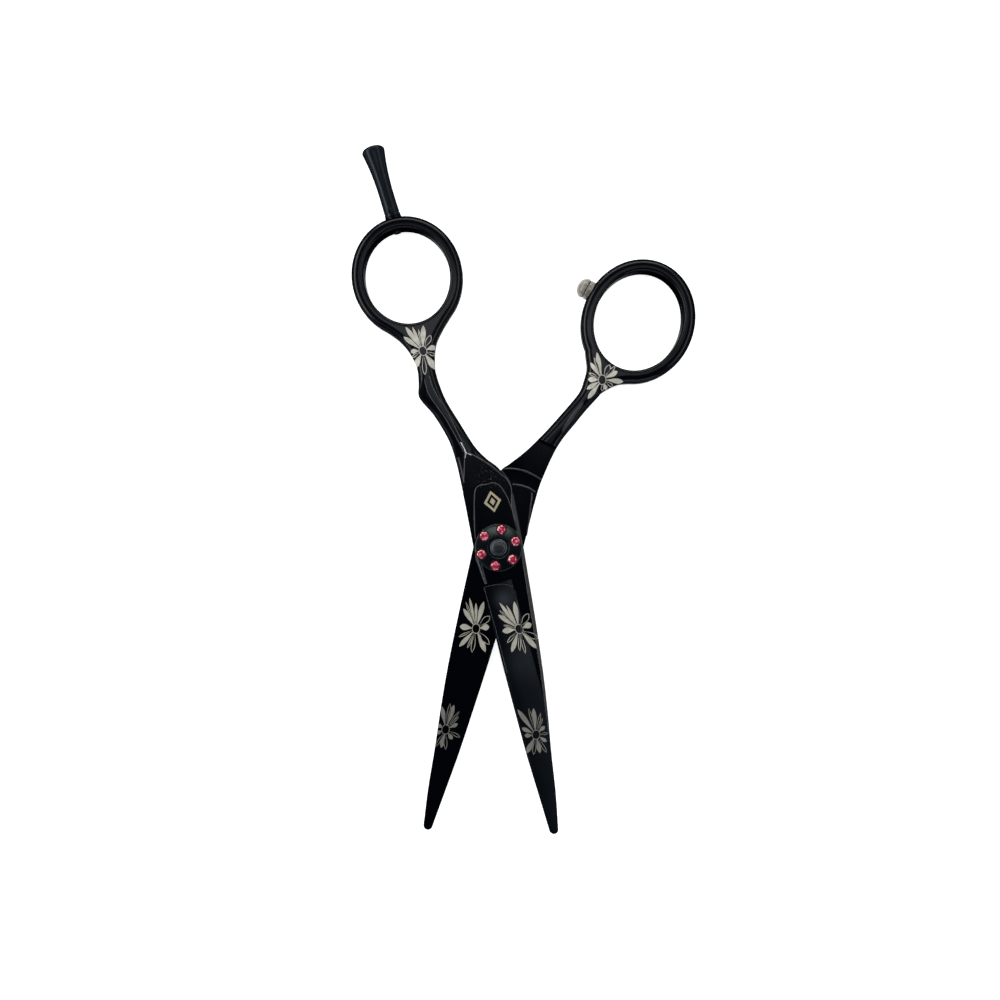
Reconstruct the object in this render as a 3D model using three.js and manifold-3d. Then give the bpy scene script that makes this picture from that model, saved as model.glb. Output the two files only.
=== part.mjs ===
// Hair cutting shears: two forged halves on an adjustable pivot, lying flat with the dial up.
// Millimetres. The origin is on the pivot axis at the underside of the bolt head.
// +Y runs to the finger rings, -Y to the blade tips, +Z up through the tension dial.

import * as THREE from 'three';
import { mergeVertices } from 'three/addons/utils/BufferGeometryUtils.js';
import Module from 'manifold-3d';

const wasm = await Module();
wasm.setup();

// ---- Clearances ----

const RUN_CLEARANCE = 0.05; // radial, between a turning shaft and its hole
const SEAT_GAP = 0.05; // between pieces that sit on or in one another
const DIAL_LIFT_ROOM = 0.2; // height left for the index plate and dial to travel

// ---- Both halves ----

const BLADE_LENGTH = 70.1; // pivot to tip
const BLADE_THICKNESS = 2.65;
const RIDE_GAP = 0.1; // between the two inner faces
const BAR_HALF_WIDTH = 5.85; // flat bar around the pivot
const BAR_SQUARE_TOP = 11.5; // the bar keeps its full width up to here
const SHOULDER_RADIUS = 27.5; // inside this the halves are one blade thick
const HANDLE_BEVEL = 1.2;
const RING_WALL = 3.0;

// ---- Blade shape, the same on both halves ----

const HEEL_Y = 8.6; // the cutting edge starts here
const HEEL_RELIEF = 0.95; // how far the heel is cut back
const HEEL_RELIEF_TOP = 2.0;
const HEEL_NOTCH = 0.35;
const HEEL_NOTCH_RISE = 1.05; // the notch's slope ends this far above the heel
const EDGE_THICKNESS = 0.35;
const RIDGE_X = 1.6; // ridge between the outer bevel and the flat at the heel
const TIP_RADIUS = 1.1;
const TIP_OFFSET = 0.25; // the tip's middle lies towards the spine

// [share of the blade length, spine offset, edge offset]
const BLADE_STATIONS = [
  [0.25, 5.45, 4.95],
  [0.43, 4.92, 4.25],
  [0.57, 4.2, 3.57],
  [0.72, 3.18, 2.77],
  [0.86, 2.4, 1.75],
];

// ---- Finger half ----

const FINGER_TURN = THREE.MathUtils.degToRad(10.85);
const FINGER_RING_X = -9.28;
const FINGER_RING_Y = 67.65;
const FINGER_HOLE_A = 10.27;
const FINGER_HOLE_B = 11.42;
const FINGER_RING_TILT = 0;

// Sides of the shank: [share of the way from pivot to ring centre, offset from that line]
const FINGER_OUTER_SIDE = [
  [0.316, -3.16],
  [0.404, -3.15],
  [0.498, -4.58],
  [0.556, -6.3],
  [0.582, -6.55],
  [0.62, -5.65],
  [0.673, -4.86],
  [0.732, -5.35],
  [0.783, -6.85],
];
const FINGER_INNER_SIDE = [
  [0.265, 6.36],
  [0.316, 4.04],
  [0.367, 2.3],
  [0.46, 0.67],
  [0.553, -0.77],
  [0.643, -0.93],
  [0.692, -0.18],
  [0.748, 1.44],
  [0.795, 4.1],
];
const FINGER_OUTER_TANGENT = THREE.MathUtils.degToRad(236);
const FINGER_INNER_TANGENT = THREE.MathUtils.degToRad(311);

// ---- Thumb half ----

const THUMB_TURN = THREE.MathUtils.degToRad(-14);
const THUMB_RING_X = 19.56;
const THUMB_RING_Y = 60.49;
const THUMB_HOLE_A = 10.45;
const THUMB_HOLE_B = 12.05;
const THUMB_RING_TILT = THREE.MathUtils.degToRad(-8.15);

const THUMB_OUTER_SIDE = [
  [0.298, 0.46],
  [0.445, -0.65],
  [0.554, 0.12],
  [0.61, 0.65],
  [0.665, 1.37],
  [0.696, 1.87],
  [0.737, 3.95],
];
const THUMB_INNER_SIDE = [
  [0.296, -9.6],
  [0.327, -8.76],
  [0.39, -6.78],
  [0.478, -4.99],
  [0.59, -3.53],
  [0.672, -2.87],
  [0.724, -3.57],
  [0.772, -4.71],
  [0.818, -6.6],
];
const THUMB_OUTER_TANGENT = THREE.MathUtils.degToRad(286);
const THUMB_INNER_TANGENT = THREE.MathUtils.degToRad(228);

// ---- Pivot ----

const BOLT_RADIUS = 2.0;
const BOLT_FLAT = 1.6; // centre to each flat
const BOLT_HEAD_RADIUS = 4.3;
const BOLT_HEAD_HEIGHT = 0.9;
const BUSH_WALL = 0.6;
const SLIP_WASHER_THICKNESS = 0.25;
const RIDE_WASHER_THICKNESS = 0.5;
const RIDE_WASHER_WALL = 1.3;
const WASHER_GAP = 0.1; // above and below each washer of the pivot

// ---- Tension dial ----

const DIAL_RADIUS = 5.65;
const DIAL_SKIRT_WALL = 0.6;
const DIAL_WEB = 0.6; // threaded floor of the dial
const DIAL_TOP_HEIGHT = 0.75; // rim above the threaded floor
const DIAL_SKIRT_GAP = 0.25;
const DIAL_CHAMFER = 0.3;
const DIAL_MOUTH_GAP = 0.25; // mouth of the dial beyond the bolt
const DIAL_PHASE = THREE.MathUtils.degToRad(-9.5);
const SPRING_THICKNESS = 0.2;
const SPRING_WIDTH = 1.6;
const INDEX_THICKNESS = 0.3;
const INDEX_RIM_GAP = 0.6; // between the index plate and the dial's skirt
const INDEX_NOTCH_COUNT = 8;
const INDEX_NOTCH_RADIUS = 0.35;
const CRYSTAL_COUNT = 6;
const CRYSTAL_RADIUS = 1.075;
const CRYSTAL_HEIGHT = 0.8;
const CRYSTAL_RIM = 0.245; // dial metal outside each crystal
const CRYSTAL_SIDES = 8;
const CRYSTAL_CROWN = 0.28; // girdle to the dial's face
const CRYSTAL_GIRDLE = 0.06;
const CRYSTAL_PROUD = 0.1; // table above the dial's face
const CRYSTAL_TABLE = 0.58; // share of the crystal's radius
const SCREW_HEAD_INSET = 0.25; // screw head inside the bolt's edge
const SCREW_HEAD_HEIGHT = 0.75;
const SCREW_SHAFT_RADIUS = 0.8;
const SCREW_SHAFT_LENGTH = 2.2;
const SCREW_SOCKET_RADIUS = 0.75;
const SCREW_SOCKET_DEPTH = 0.4;

// ---- Finger rest and bumper ----

const REST_ANGLE = THREE.MathUtils.degToRad(92.6); // place on the finger ring
const REST_LEAN = THREE.MathUtils.degToRad(6); // away from the blade line
const REST_LENGTH = 17.7;
const REST_BASE_RADIUS = 1.72;
const REST_TIP_RADIUS = 2.4;
const REST_END_RADIUS = 1.9; // flat end inside its rounding
const REST_END_ROUND = 0.9;
const REST_END_DOME = 0.2;
const REST_STUD_RADIUS = 1.0;
const REST_STUD_PROUD = 0.3; // stud end inside the ring
const REST_WASHER_THICKNESS = 0.45;
const REST_WASHER_RADIUS = 2.0;
const SPOT_FACE_DEPTH = 0.3;

const BUMPER_ANGLE = THREE.MathUtils.degToRad(170); // place on the thumb ring
const BUMPER_LEAN = THREE.MathUtils.degToRad(75); // left of the blade line
const BUMPER_COLLAR_RADIUS = 2.15;
const BUMPER_COLLAR_HEIGHT = 1.2;
const BUMPER_STUD_RADIUS = 0.9;
const BUMPER_STUD_LENGTH = 2.2;
const BUMPER_STEM_RADIUS = 1.05;
const BUMPER_STEM_HEIGHT = 1.3;
const BUMPER_CAP_RADIUS = 2.2;
const BUMPER_CAP_HEIGHT = 2.5;

// ---- Levels worked out from the sizes above ----

const THUMB_TOP = BLADE_THICKNESS;
const FINGER_BOTTOM = THUMB_TOP + RIDE_GAP;
const HANDLE_HEIGHT = FINGER_BOTTOM + BLADE_THICKNESS;
const MID_LEVEL = HANDLE_HEIGHT / 2;
const SLIP_WASHER_LEVEL = BOLT_HEAD_HEIGHT + WASHER_GAP;
const COUNTERBORE_DEPTH = SLIP_WASHER_LEVEL + SLIP_WASHER_THICKNESS + SEAT_GAP;
const RIDE_WASHER_LEVEL = MID_LEVEL - RIDE_WASHER_THICKNESS / 2;
const RIDE_RECESS_BOTTOM = RIDE_WASHER_LEVEL - WASHER_GAP;
const RIDE_RECESS_TOP = RIDE_WASHER_LEVEL + RIDE_WASHER_THICKNESS + WASHER_GAP;
const SPRING_LEVEL = HANDLE_HEIGHT + SEAT_GAP;
const INDEX_LEVEL = SPRING_LEVEL + SPRING_THICKNESS + DIAL_LIFT_ROOM;
const DIAL_WEB_LEVEL = INDEX_LEVEL + INDEX_THICKNESS + SEAT_GAP;
const DIAL_WEB_TOP = DIAL_WEB_LEVEL + DIAL_WEB;
const DIAL_TOP = DIAL_WEB_TOP + DIAL_TOP_HEIGHT;
const BOLT_TOP = DIAL_WEB_TOP + SEAT_GAP;
const SCREW_LEVEL = BOLT_TOP + DIAL_LIFT_ROOM / 2;
const BUSH_RADIUS = BOLT_RADIUS + RUN_CLEARANCE + BUSH_WALL;
const RIDE_WASHER_RADIUS = BUSH_RADIUS + SEAT_GAP + RIDE_WASHER_WALL;
const SCREW_HEAD_RADIUS = BOLT_RADIUS - SCREW_HEAD_INSET;
const DIAL_MOUTH_RADIUS = BOLT_RADIUS + DIAL_MOUTH_GAP;
const CRYSTAL_PITCH_RADIUS = DIAL_RADIUS - CRYSTAL_RIM - CRYSTAL_RADIUS;

const ROUND_SEGMENTS = 40;
const SMALL_SEGMENTS = 24;
const RING_SEGMENTS = 24; // half the sides of a whole ring
const SIDE_STEPS = 26; // steps along each side of a shank
const TIP_SEGMENTS = 4;
const BLADE_STEPS = 14; // steps along the spine and along the edge
const DOME_STEPS = 5;
const FLARE_STEPS = 5;
const NOTCH_SEGMENTS = 12;
const HEX_SIDES = 6;
const OVERCUT = 1; // how far a cutter runs past the face it cuts

// ---- Materials ----

const coating = new THREE.MeshStandardMaterial({ color: 0x0c0e12, roughness: 0.22, metalness: 0.6 });
const satinBlack = new THREE.MeshStandardMaterial({ color: 0x1c211f, roughness: 0.45, metalness: 0.5 });
const restBlack = new THREE.MeshStandardMaterial({ color: 0x15181f, roughness: 0.4, metalness: 0.4 });
const steel = new THREE.MeshStandardMaterial({ color: 0xb8b6b0, roughness: 0.3, metalness: 1 });
const bronze = new THREE.MeshStandardMaterial({ color: 0xa9823f, roughness: 0.4, metalness: 1 });
const slipPlastic = new THREE.MeshStandardMaterial({ color: 0xe8e6dc, roughness: 0.6, metalness: 0 });
const pinkCrystal = new THREE.MeshStandardMaterial({ color: 0xe8587a, roughness: 0.05, metalness: 0 });
const softGrey = new THREE.MeshStandardMaterial({ color: 0xa09e96, roughness: 0.35, metalness: 0 });

// ---- Solids ----

function withoutSlivers(index) {
  const kept = [];
  for (let i = 0; i < index.length; i += 3) {
    const [a, b, c] = [index[i], index[i + 1], index[i + 2]];
    if (a !== b && b !== c && a !== c) kept.push(a, b, c);
  }
  return new Uint32Array(kept);
}

function solid(geometry) {
  const bare = new THREE.BufferGeometry();
  bare.setAttribute('position', geometry.getAttribute('position'));
  if (geometry.index) bare.setIndex(geometry.index);
  const merged = mergeVertices(bare, 1e-4);
  return new wasm.Manifold(
    new wasm.Mesh({
      numProp: 3,
      vertProperties: new Float32Array(merged.getAttribute('position').array),
      triVerts: withoutSlivers(merged.index.array),
    }),
  );
}

function part(name, manifold, material) {
  const cut = manifold.getMesh();
  const geometry = new THREE.BufferGeometry();
  geometry.setAttribute('position', new THREE.BufferAttribute(cut.vertProperties, 3));
  geometry.setIndex(new THREE.BufferAttribute(cut.triVerts, 1));
  const faceted = geometry.toNonIndexed();
  faceted.computeVertexNormals();
  const mesh = new THREE.Mesh(faceted, material);
  mesh.name = name;
  return mesh;
}

// An upright cylinder from one level to another.
function disc(radius, bottom, top, segments = ROUND_SEGMENTS) {
  const geometry = new THREE.CylinderGeometry(radius, radius, top - bottom, segments);
  geometry.rotateX(Math.PI / 2);
  geometry.translate(0, 0, (bottom + top) / 2);
  return solid(geometry);
}

// A round with two flats, for the keyed length of the bolt.
function keyedDisc(radius, flat, bottom, top) {
  const sides = new THREE.BoxGeometry(4 * radius, 2 * flat, 2 * (top - bottom));
  sides.translate(0, 0, (bottom + top) / 2);
  return disc(radius, bottom, top).intersect(solid(sides));
}

function box(low, high) {
  const geometry = new THREE.BoxGeometry(high[0] - low[0], high[1] - low[1], high[2] - low[2]);
  geometry.translate((low[0] + high[0]) / 2, (low[1] + high[1]) / 2, (low[2] + high[2]) / 2);
  return solid(geometry);
}

// A turned piece whose profile gives [radius, height] pairs, standing on +Z.
function turned(profile, segments = SMALL_SEGMENTS) {
  const points = profile.map(([radius, height]) => new THREE.Vector2(radius, height));
  const geometry = new THREE.LatheGeometry(points, segments);
  geometry.rotateX(Math.PI / 2);
  return solid(geometry);
}

// The same turned piece with its axis laid level from a point, at an angle from +X.
function laid(profile, from, angle, segments = SMALL_SEGMENTS) {
  const points = profile.map(([radius, height]) => new THREE.Vector2(radius, height));
  const geometry = new THREE.LatheGeometry(points, segments);
  geometry.rotateZ(angle - Math.PI / 2);
  geometry.translate(from.x, from.y, MID_LEVEL);
  return solid(geometry);
}

function rod(radius, start, end) {
  return [[0, start], [radius, start], [radius, end], [0, end]];
}

// ---- Outlines of the halves ----

function ringPoint(half, angle, wall) {
  const point = new THREE.Vector2(
    (half.holeA + wall) * Math.cos(angle),
    (half.holeB + wall) * Math.sin(angle),
  );
  point.rotateAround(new THREE.Vector2(0, 0), half.tilt);
  return point.add(half.ring);
}

function sidePoints(half, side) {
  return side.map(([share, offset]) => new THREE.Vector2(
    half.ring.x * share + offset,
    half.ring.y * share,
  ));
}

// A smooth curve through points, from the outline's current point.
function curveThrough(shape, points, steps) {
  const curve = new THREE.SplineCurve([shape.currentPoint.clone(), ...points]);
  for (const point of curve.getPoints(steps).slice(1)) {
    shape.lineTo(point.x, point.y);
  }
}

// Bar, shank and ring as one outline with the ring's hole. leftSide and rightSide climb from the
// bar to the ring, and the ring's rim runs between their tangent points.
function handleShape(half) {
  const leftFoot = new THREE.Vector2(-BAR_HALF_WIDTH, 0);
  const leftTop = new THREE.Vector2(-BAR_HALF_WIDTH, BAR_SQUARE_TOP);
  const rightTop = new THREE.Vector2(BAR_HALF_WIDTH, BAR_SQUARE_TOP);
  const rightFoot = new THREE.Vector2(BAR_HALF_WIDTH, 0);
  const rightSide = [rightTop, ...sidePoints(half, half.rightSide)];
  const shape = new THREE.Shape();
  shape.moveTo(leftFoot.x, leftFoot.y);
  shape.lineTo(leftTop.x, leftTop.y);
  const leftTangent = ringPoint(half, half.leftTangent, RING_WALL);
  curveThrough(shape, [...sidePoints(half, half.leftSide), leftTangent], SIDE_STEPS);
  shape.absellipse(
    half.ring.x,
    half.ring.y,
    half.holeA + RING_WALL,
    half.holeB + RING_WALL,
    half.leftTangent,
    half.rightTangent,
    true,
    half.tilt,
  );
  curveThrough(shape, rightSide.reverse(), SIDE_STEPS);
  shape.lineTo(rightFoot.x, rightFoot.y);
  shape.closePath();
  const hole = new THREE.Path();
  hole.absellipse(half.ring.x, half.ring.y, half.holeA, half.holeB, 0, 2 * Math.PI, false, half.tilt);
  shape.holes.push(hole);
  return shape;
}

// The flat bar and the blade below it, spine on +X and cutting edge on -X.
function bladeShape() {
  const spine = BLADE_STATIONS.map(([share, offset]) => new THREE.Vector2(offset, -share * BLADE_LENGTH));
  const edge = BLADE_STATIONS.map(([share, , offset]) => new THREE.Vector2(-offset, -share * BLADE_LENGTH));
  const tipY = TIP_RADIUS - BLADE_LENGTH;
  const shape = new THREE.Shape();
  shape.moveTo(-BAR_HALF_WIDTH, BAR_SQUARE_TOP);
  shape.lineTo(-BAR_HALF_WIDTH, -HEEL_RELIEF_TOP);
  shape.lineTo(HEEL_RELIEF - BAR_HALF_WIDTH, HEEL_NOTCH_RISE - HEEL_Y);
  shape.lineTo(HEEL_RELIEF - BAR_HALF_WIDTH, HEEL_NOTCH - HEEL_Y);
  shape.lineTo(HEEL_NOTCH - BAR_HALF_WIDTH, -HEEL_Y);
  curveThrough(shape, [...edge, new THREE.Vector2(TIP_OFFSET - TIP_RADIUS, tipY)], BLADE_STEPS);
  shape.absarc(TIP_OFFSET, tipY, TIP_RADIUS, Math.PI, 2 * Math.PI, false);
  const spineTop = new THREE.Vector2(BAR_HALF_WIDTH, -HEEL_RELIEF_TOP);
  curveThrough(shape, [...spine.reverse(), spineTop], BLADE_STEPS);
  shape.lineTo(BAR_HALF_WIDTH, BAR_SQUARE_TOP);
  shape.closePath();
  return shape;
}

// ---- The halves ----

function handleBody(half) {
  const geometry = new THREE.ExtrudeGeometry(handleShape(half), {
    depth: HANDLE_HEIGHT - 2 * HANDLE_BEVEL,
    bevelEnabled: true,
    bevelThickness: HANDLE_BEVEL,
    bevelSize: HANDLE_BEVEL,
    bevelOffset: -HANDLE_BEVEL,
    bevelSegments: 2,
    curveSegments: RING_SEGMENTS,
  });
  geometry.translate(0, 0, HANDLE_BEVEL);
  return solid(geometry);
}

// The blade lies between two levels. Its outer face slopes from the ridge to a thin cutting edge.
function bladeBody(bottom, top, outerUp) {
  const geometry = new THREE.ExtrudeGeometry(bladeShape(), {
    depth: top - bottom,
    bevelEnabled: false,
    curveSegments: TIP_SEGMENTS,
  });
  geometry.translate(0, 0, bottom);
  return solid(geometry).subtract(outerBevelCutter(bottom, top, outerUp));
}

// A block whose face passes through the cutting edge and the ridge at the heel.
function outerBevelCutter(bottom, top, outerUp) {
  const up = outerUp ? 1 : -1;
  const outer = outerUp ? top : bottom;
  const inner = outerUp ? bottom : top;
  const edgeLevel = inner + up * EDGE_THICKNESS;
  const heel = new THREE.Vector3(HEEL_NOTCH - BAR_HALF_WIDTH, -HEEL_Y, edgeLevel);
  const tip = new THREE.Vector3(TIP_OFFSET - TIP_RADIUS, TIP_RADIUS - BLADE_LENGTH, edgeLevel);
  const ridge = new THREE.Vector3(RIDGE_X, -HEEL_Y, outer);
  const along = tip.clone().sub(heel).normalize();
  const across = ridge.clone().sub(heel);
  across.addScaledVector(along, -across.dot(along)).normalize();
  const outward = new THREE.Vector3().crossVectors(along, across);
  outward.multiplyScalar(Math.sign(outward.z) * up);
  const side = new THREE.Vector3().crossVectors(outward, along);
  const size = BLADE_LENGTH;
  const geometry = new THREE.BoxGeometry(size, size, size);
  geometry.applyMatrix4(new THREE.Matrix4().makeBasis(along, side, outward));
  const centre = heel.clone().addScaledVector(along, size / 2).addScaledVector(outward, size / 2);
  geometry.translate(centre.x, centre.y, centre.z);
  return solid(geometry);
}

// Everything of a handle that would foul the other half near the pivot.
function shoulderCutter(bottom, top) {
  const below = box(
    [-2 * BAR_HALF_WIDTH, -BLADE_LENGTH, bottom],
    [2 * BAR_HALF_WIDTH, 0, top],
  );
  return disc(SHOULDER_RADIUS, bottom, top, 2 * ROUND_SEGMENTS).add(below);
}

// Threads go through the ring wall, so their holes are plain rods with a flat seat outside.
function ringHole(half, angle, lean, studRadius, seatRadius) {
  const outside = ringPoint(half, angle, RING_WALL);
  const through = laid(rod(studRadius + SEAT_GAP, -RING_WALL - OVERCUT, OVERCUT), outside, lean);
  return through.add(laid(rod(seatRadius, -SPOT_FACE_DEPTH, OVERCUT), outside, lean));
}

const fingerHalf = {
  ring: new THREE.Vector2(FINGER_RING_X, FINGER_RING_Y),
  holeA: FINGER_HOLE_A,
  holeB: FINGER_HOLE_B,
  tilt: FINGER_RING_TILT,
  leftSide: FINGER_OUTER_SIDE,
  rightSide: FINGER_INNER_SIDE,
  leftTangent: FINGER_OUTER_TANGENT,
  rightTangent: FINGER_INNER_TANGENT,
};

const thumbHalf = {
  ring: new THREE.Vector2(THUMB_RING_X, THUMB_RING_Y),
  holeA: THUMB_HOLE_A,
  holeB: THUMB_HOLE_B,
  tilt: THUMB_RING_TILT,
  leftSide: THUMB_INNER_SIDE,
  rightSide: THUMB_OUTER_SIDE,
  leftTangent: THUMB_INNER_TANGENT,
  rightTangent: THUMB_OUTER_TANGENT,
};

const restAxis = Math.PI / 2 + REST_LEAN;
const restSeat = ringPoint(fingerHalf, REST_ANGLE, RING_WALL - SPOT_FACE_DEPTH);
const bumperAxis = Math.PI / 2 + BUMPER_LEAN;
const bumperSeat = ringPoint(thumbHalf, BUMPER_ANGLE, RING_WALL - SPOT_FACE_DEPTH);

function makeFingerBlade() {
  const handle = handleBody(fingerHalf).subtract(shoulderCutter(-OVERCUT, FINGER_BOTTOM));
  const blade = bladeBody(FINGER_BOTTOM, HANDLE_HEIGHT, true);
  const boltHole = keyedDisc(
    BOLT_RADIUS + SEAT_GAP,
    BOLT_FLAT + SEAT_GAP,
    0,
    HANDLE_HEIGHT + OVERCUT,
  );
  const washerRecess = disc(RIDE_WASHER_RADIUS + SEAT_GAP, 0, RIDE_RECESS_TOP);
  const restHole = ringHole(
    fingerHalf,
    REST_ANGLE,
    restAxis,
    REST_STUD_RADIUS,
    REST_WASHER_RADIUS + SEAT_GAP,
  );
  const whole = handle.add(blade).subtract(boltHole).subtract(washerRecess).subtract(restHole);
  return part('finger_blade', whole, coating);
}

function makeThumbBlade() {
  const handle = handleBody(thumbHalf).subtract(shoulderCutter(THUMB_TOP, HANDLE_HEIGHT + OVERCUT));
  const blade = bladeBody(0, THUMB_TOP, false).mirror([1, 0, 0]);
  const bushHole = disc(BUSH_RADIUS + SEAT_GAP, -OVERCUT, HANDLE_HEIGHT);
  const headRecess = disc(BOLT_HEAD_RADIUS + SEAT_GAP, -OVERCUT, COUNTERBORE_DEPTH);
  const washerRecess = disc(RIDE_WASHER_RADIUS + SEAT_GAP, RIDE_RECESS_BOTTOM, HANDLE_HEIGHT);
  const bumperHole = ringHole(
    thumbHalf,
    BUMPER_ANGLE,
    bumperAxis,
    BUMPER_STUD_RADIUS,
    BUMPER_COLLAR_RADIUS + SEAT_GAP,
  );
  const whole = handle
    .add(blade)
    .subtract(bushHole)
    .subtract(headRecess)
    .subtract(washerRecess)
    .subtract(bumperHole);
  return part('thumb_blade', whole, coating);
}

// ---- Pivot pieces ----

function makePivotBolt() {
  const head = disc(BOLT_HEAD_RADIUS, 0, BOLT_HEAD_HEIGHT);
  const shank = disc(BOLT_RADIUS, 0, FINGER_BOTTOM);
  const keyed = keyedDisc(BOLT_RADIUS, BOLT_FLAT, MID_LEVEL, BOLT_TOP);
  const screwHole = disc(
    SCREW_SHAFT_RADIUS + SEAT_GAP,
    BOLT_TOP - SCREW_SHAFT_LENGTH - SEAT_GAP,
    BOLT_TOP + OVERCUT,
    SMALL_SEGMENTS,
  );
  return part('pivot_bolt', head.add(shank).add(keyed).subtract(screwHole), steel);
}

function makePivotBush() {
  const outside = disc(BUSH_RADIUS, COUNTERBORE_DEPTH + SEAT_GAP, RIDE_RECESS_TOP - SEAT_GAP);
  const bore = disc(BOLT_RADIUS + RUN_CLEARANCE, 0, HANDLE_HEIGHT);
  return part('pivot_bush', outside.subtract(bore), bronze);
}

function makeSlipWasher() {
  const outside = disc(BOLT_HEAD_RADIUS, SLIP_WASHER_LEVEL, SLIP_WASHER_LEVEL + SLIP_WASHER_THICKNESS);
  const bore = disc(BOLT_RADIUS + RUN_CLEARANCE, 0, HANDLE_HEIGHT);
  return part('slip_washer', outside.subtract(bore), slipPlastic);
}

function makeRideWasher() {
  const outside = disc(
    RIDE_WASHER_RADIUS,
    RIDE_WASHER_LEVEL,
    RIDE_WASHER_LEVEL + RIDE_WASHER_THICKNESS,
  );
  const bore = disc(BUSH_RADIUS + SEAT_GAP, 0, HANDLE_HEIGHT);
  return part('ride_washer', outside.subtract(bore), slipPlastic);
}

function makeClickSpring() {
  const boreRadius = BOLT_RADIUS + SEAT_GAP;
  const outside = disc(boreRadius + SPRING_WIDTH, SPRING_LEVEL, SPRING_LEVEL + SPRING_THICKNESS);
  const bore = keyedDisc(boreRadius, BOLT_FLAT + SEAT_GAP, 0, BOLT_TOP);
  return part('click_spring', outside.subtract(bore), steel);
}

function makeIndexPlate() {
  const boreRadius = BOLT_RADIUS + RUN_CLEARANCE;
  const outerRadius = DIAL_RADIUS - DIAL_SKIRT_WALL - INDEX_RIM_GAP;
  let plate = disc(outerRadius, INDEX_LEVEL, INDEX_LEVEL + INDEX_THICKNESS);
  plate = plate.subtract(keyedDisc(boreRadius, BOLT_FLAT + RUN_CLEARANCE, 0, BOLT_TOP + OVERCUT));
  for (let i = 0; i < INDEX_NOTCH_COUNT; i += 1) {
    const angle = (2 * Math.PI * i) / INDEX_NOTCH_COUNT;
    const notch = disc(INDEX_NOTCH_RADIUS, 0, DIAL_TOP, NOTCH_SEGMENTS);
    plate = plate.subtract(
      notch.translate([outerRadius * Math.cos(angle), outerRadius * Math.sin(angle), 0]),
    );
  }
  return part('index_plate', plate, steel);
}

// ---- Dial ----

function makeTensionDial() {
  const skirtBottom = HANDLE_HEIGHT + DIAL_SKIRT_GAP;
  let dial = turned(
    [
      [0, skirtBottom],
      [DIAL_RADIUS, skirtBottom],
      [DIAL_RADIUS, DIAL_TOP - DIAL_CHAMFER],
      [DIAL_RADIUS - DIAL_CHAMFER, DIAL_TOP],
      [0, DIAL_TOP],
    ],
    ROUND_SEGMENTS,
  );
  dial = dial.subtract(disc(DIAL_RADIUS - DIAL_SKIRT_WALL, 0, DIAL_WEB_LEVEL));
  dial = dial.subtract(disc(BOLT_RADIUS + RUN_CLEARANCE, 0, DIAL_TOP));
  dial = dial.subtract(disc(DIAL_MOUTH_RADIUS, DIAL_WEB_TOP, DIAL_TOP + OVERCUT));
  const pocketFloor = DIAL_TOP - CRYSTAL_HEIGHT - SEAT_GAP;
  for (let i = 0; i < CRYSTAL_COUNT; i += 1) {
    const pocket = disc(CRYSTAL_RADIUS + SEAT_GAP, pocketFloor, DIAL_TOP + OVERCUT, SMALL_SEGMENTS);
    dial = dial.subtract(pocket.translate(crystalPlace(i)));
  }
  return part('tension_dial', dial, satinBlack);
}

function crystalPlace(i) {
  const angle = Math.PI / 2 - (2 * Math.PI * i) / CRYSTAL_COUNT;
  return [CRYSTAL_PITCH_RADIUS * Math.cos(angle), CRYSTAL_PITCH_RADIUS * Math.sin(angle), 0];
}

// Pavilion below, a narrow girdle, crown and flat table above.
function makeCrystal(i) {
  const culet = DIAL_TOP - CRYSTAL_HEIGHT;
  const girdle = DIAL_TOP - CRYSTAL_CROWN;
  const table = DIAL_TOP + CRYSTAL_PROUD;
  const gem = turned(
    [
      [0, culet],
      [CRYSTAL_RADIUS, girdle],
      [CRYSTAL_RADIUS, girdle + CRYSTAL_GIRDLE],
      [CRYSTAL_RADIUS * CRYSTAL_TABLE, table],
      [0, table],
    ],
    CRYSTAL_SIDES,
  );
  return part(`crystal_${i + 1}`, gem.translate(crystalPlace(i)), pinkCrystal);
}

function makeDialScrew() {
  const dome = [[0, SCREW_LEVEL - SCREW_SHAFT_LENGTH]];
  dome.push([SCREW_SHAFT_RADIUS, SCREW_LEVEL - SCREW_SHAFT_LENGTH]);
  dome.push([SCREW_SHAFT_RADIUS, SCREW_LEVEL]);
  dome.push([SCREW_HEAD_RADIUS, SCREW_LEVEL]);
  for (let i = 1; i < DOME_STEPS; i += 1) {
    const angle = (i / DOME_STEPS) * (Math.PI / 2);
    dome.push([
      SCREW_HEAD_RADIUS * Math.cos(angle),
      SCREW_LEVEL + SCREW_HEAD_HEIGHT * Math.sin(angle),
    ]);
  }
  dome.push([0, SCREW_LEVEL + SCREW_HEAD_HEIGHT]);
  const socketFloor = SCREW_LEVEL + SCREW_HEAD_HEIGHT - SCREW_SOCKET_DEPTH;
  const socket = disc(SCREW_SOCKET_RADIUS, socketFloor, DIAL_TOP + OVERCUT, HEX_SIDES);
  return part('dial_screw', turned(dome).subtract(socket), coating);
}

// ---- Finger rest ----

function makeRestWasher() {
  const start = SEAT_GAP;
  const end = start + REST_WASHER_THICKNESS;
  const ring = laid(rod(REST_WASHER_RADIUS, start, end), restSeat, restAxis);
  const bore = laid(rod(REST_STUD_RADIUS + SEAT_GAP, -OVERCUT, end + OVERCUT), restSeat, restAxis);
  return part('rest_washer', ring.subtract(bore), steel);
}

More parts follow.
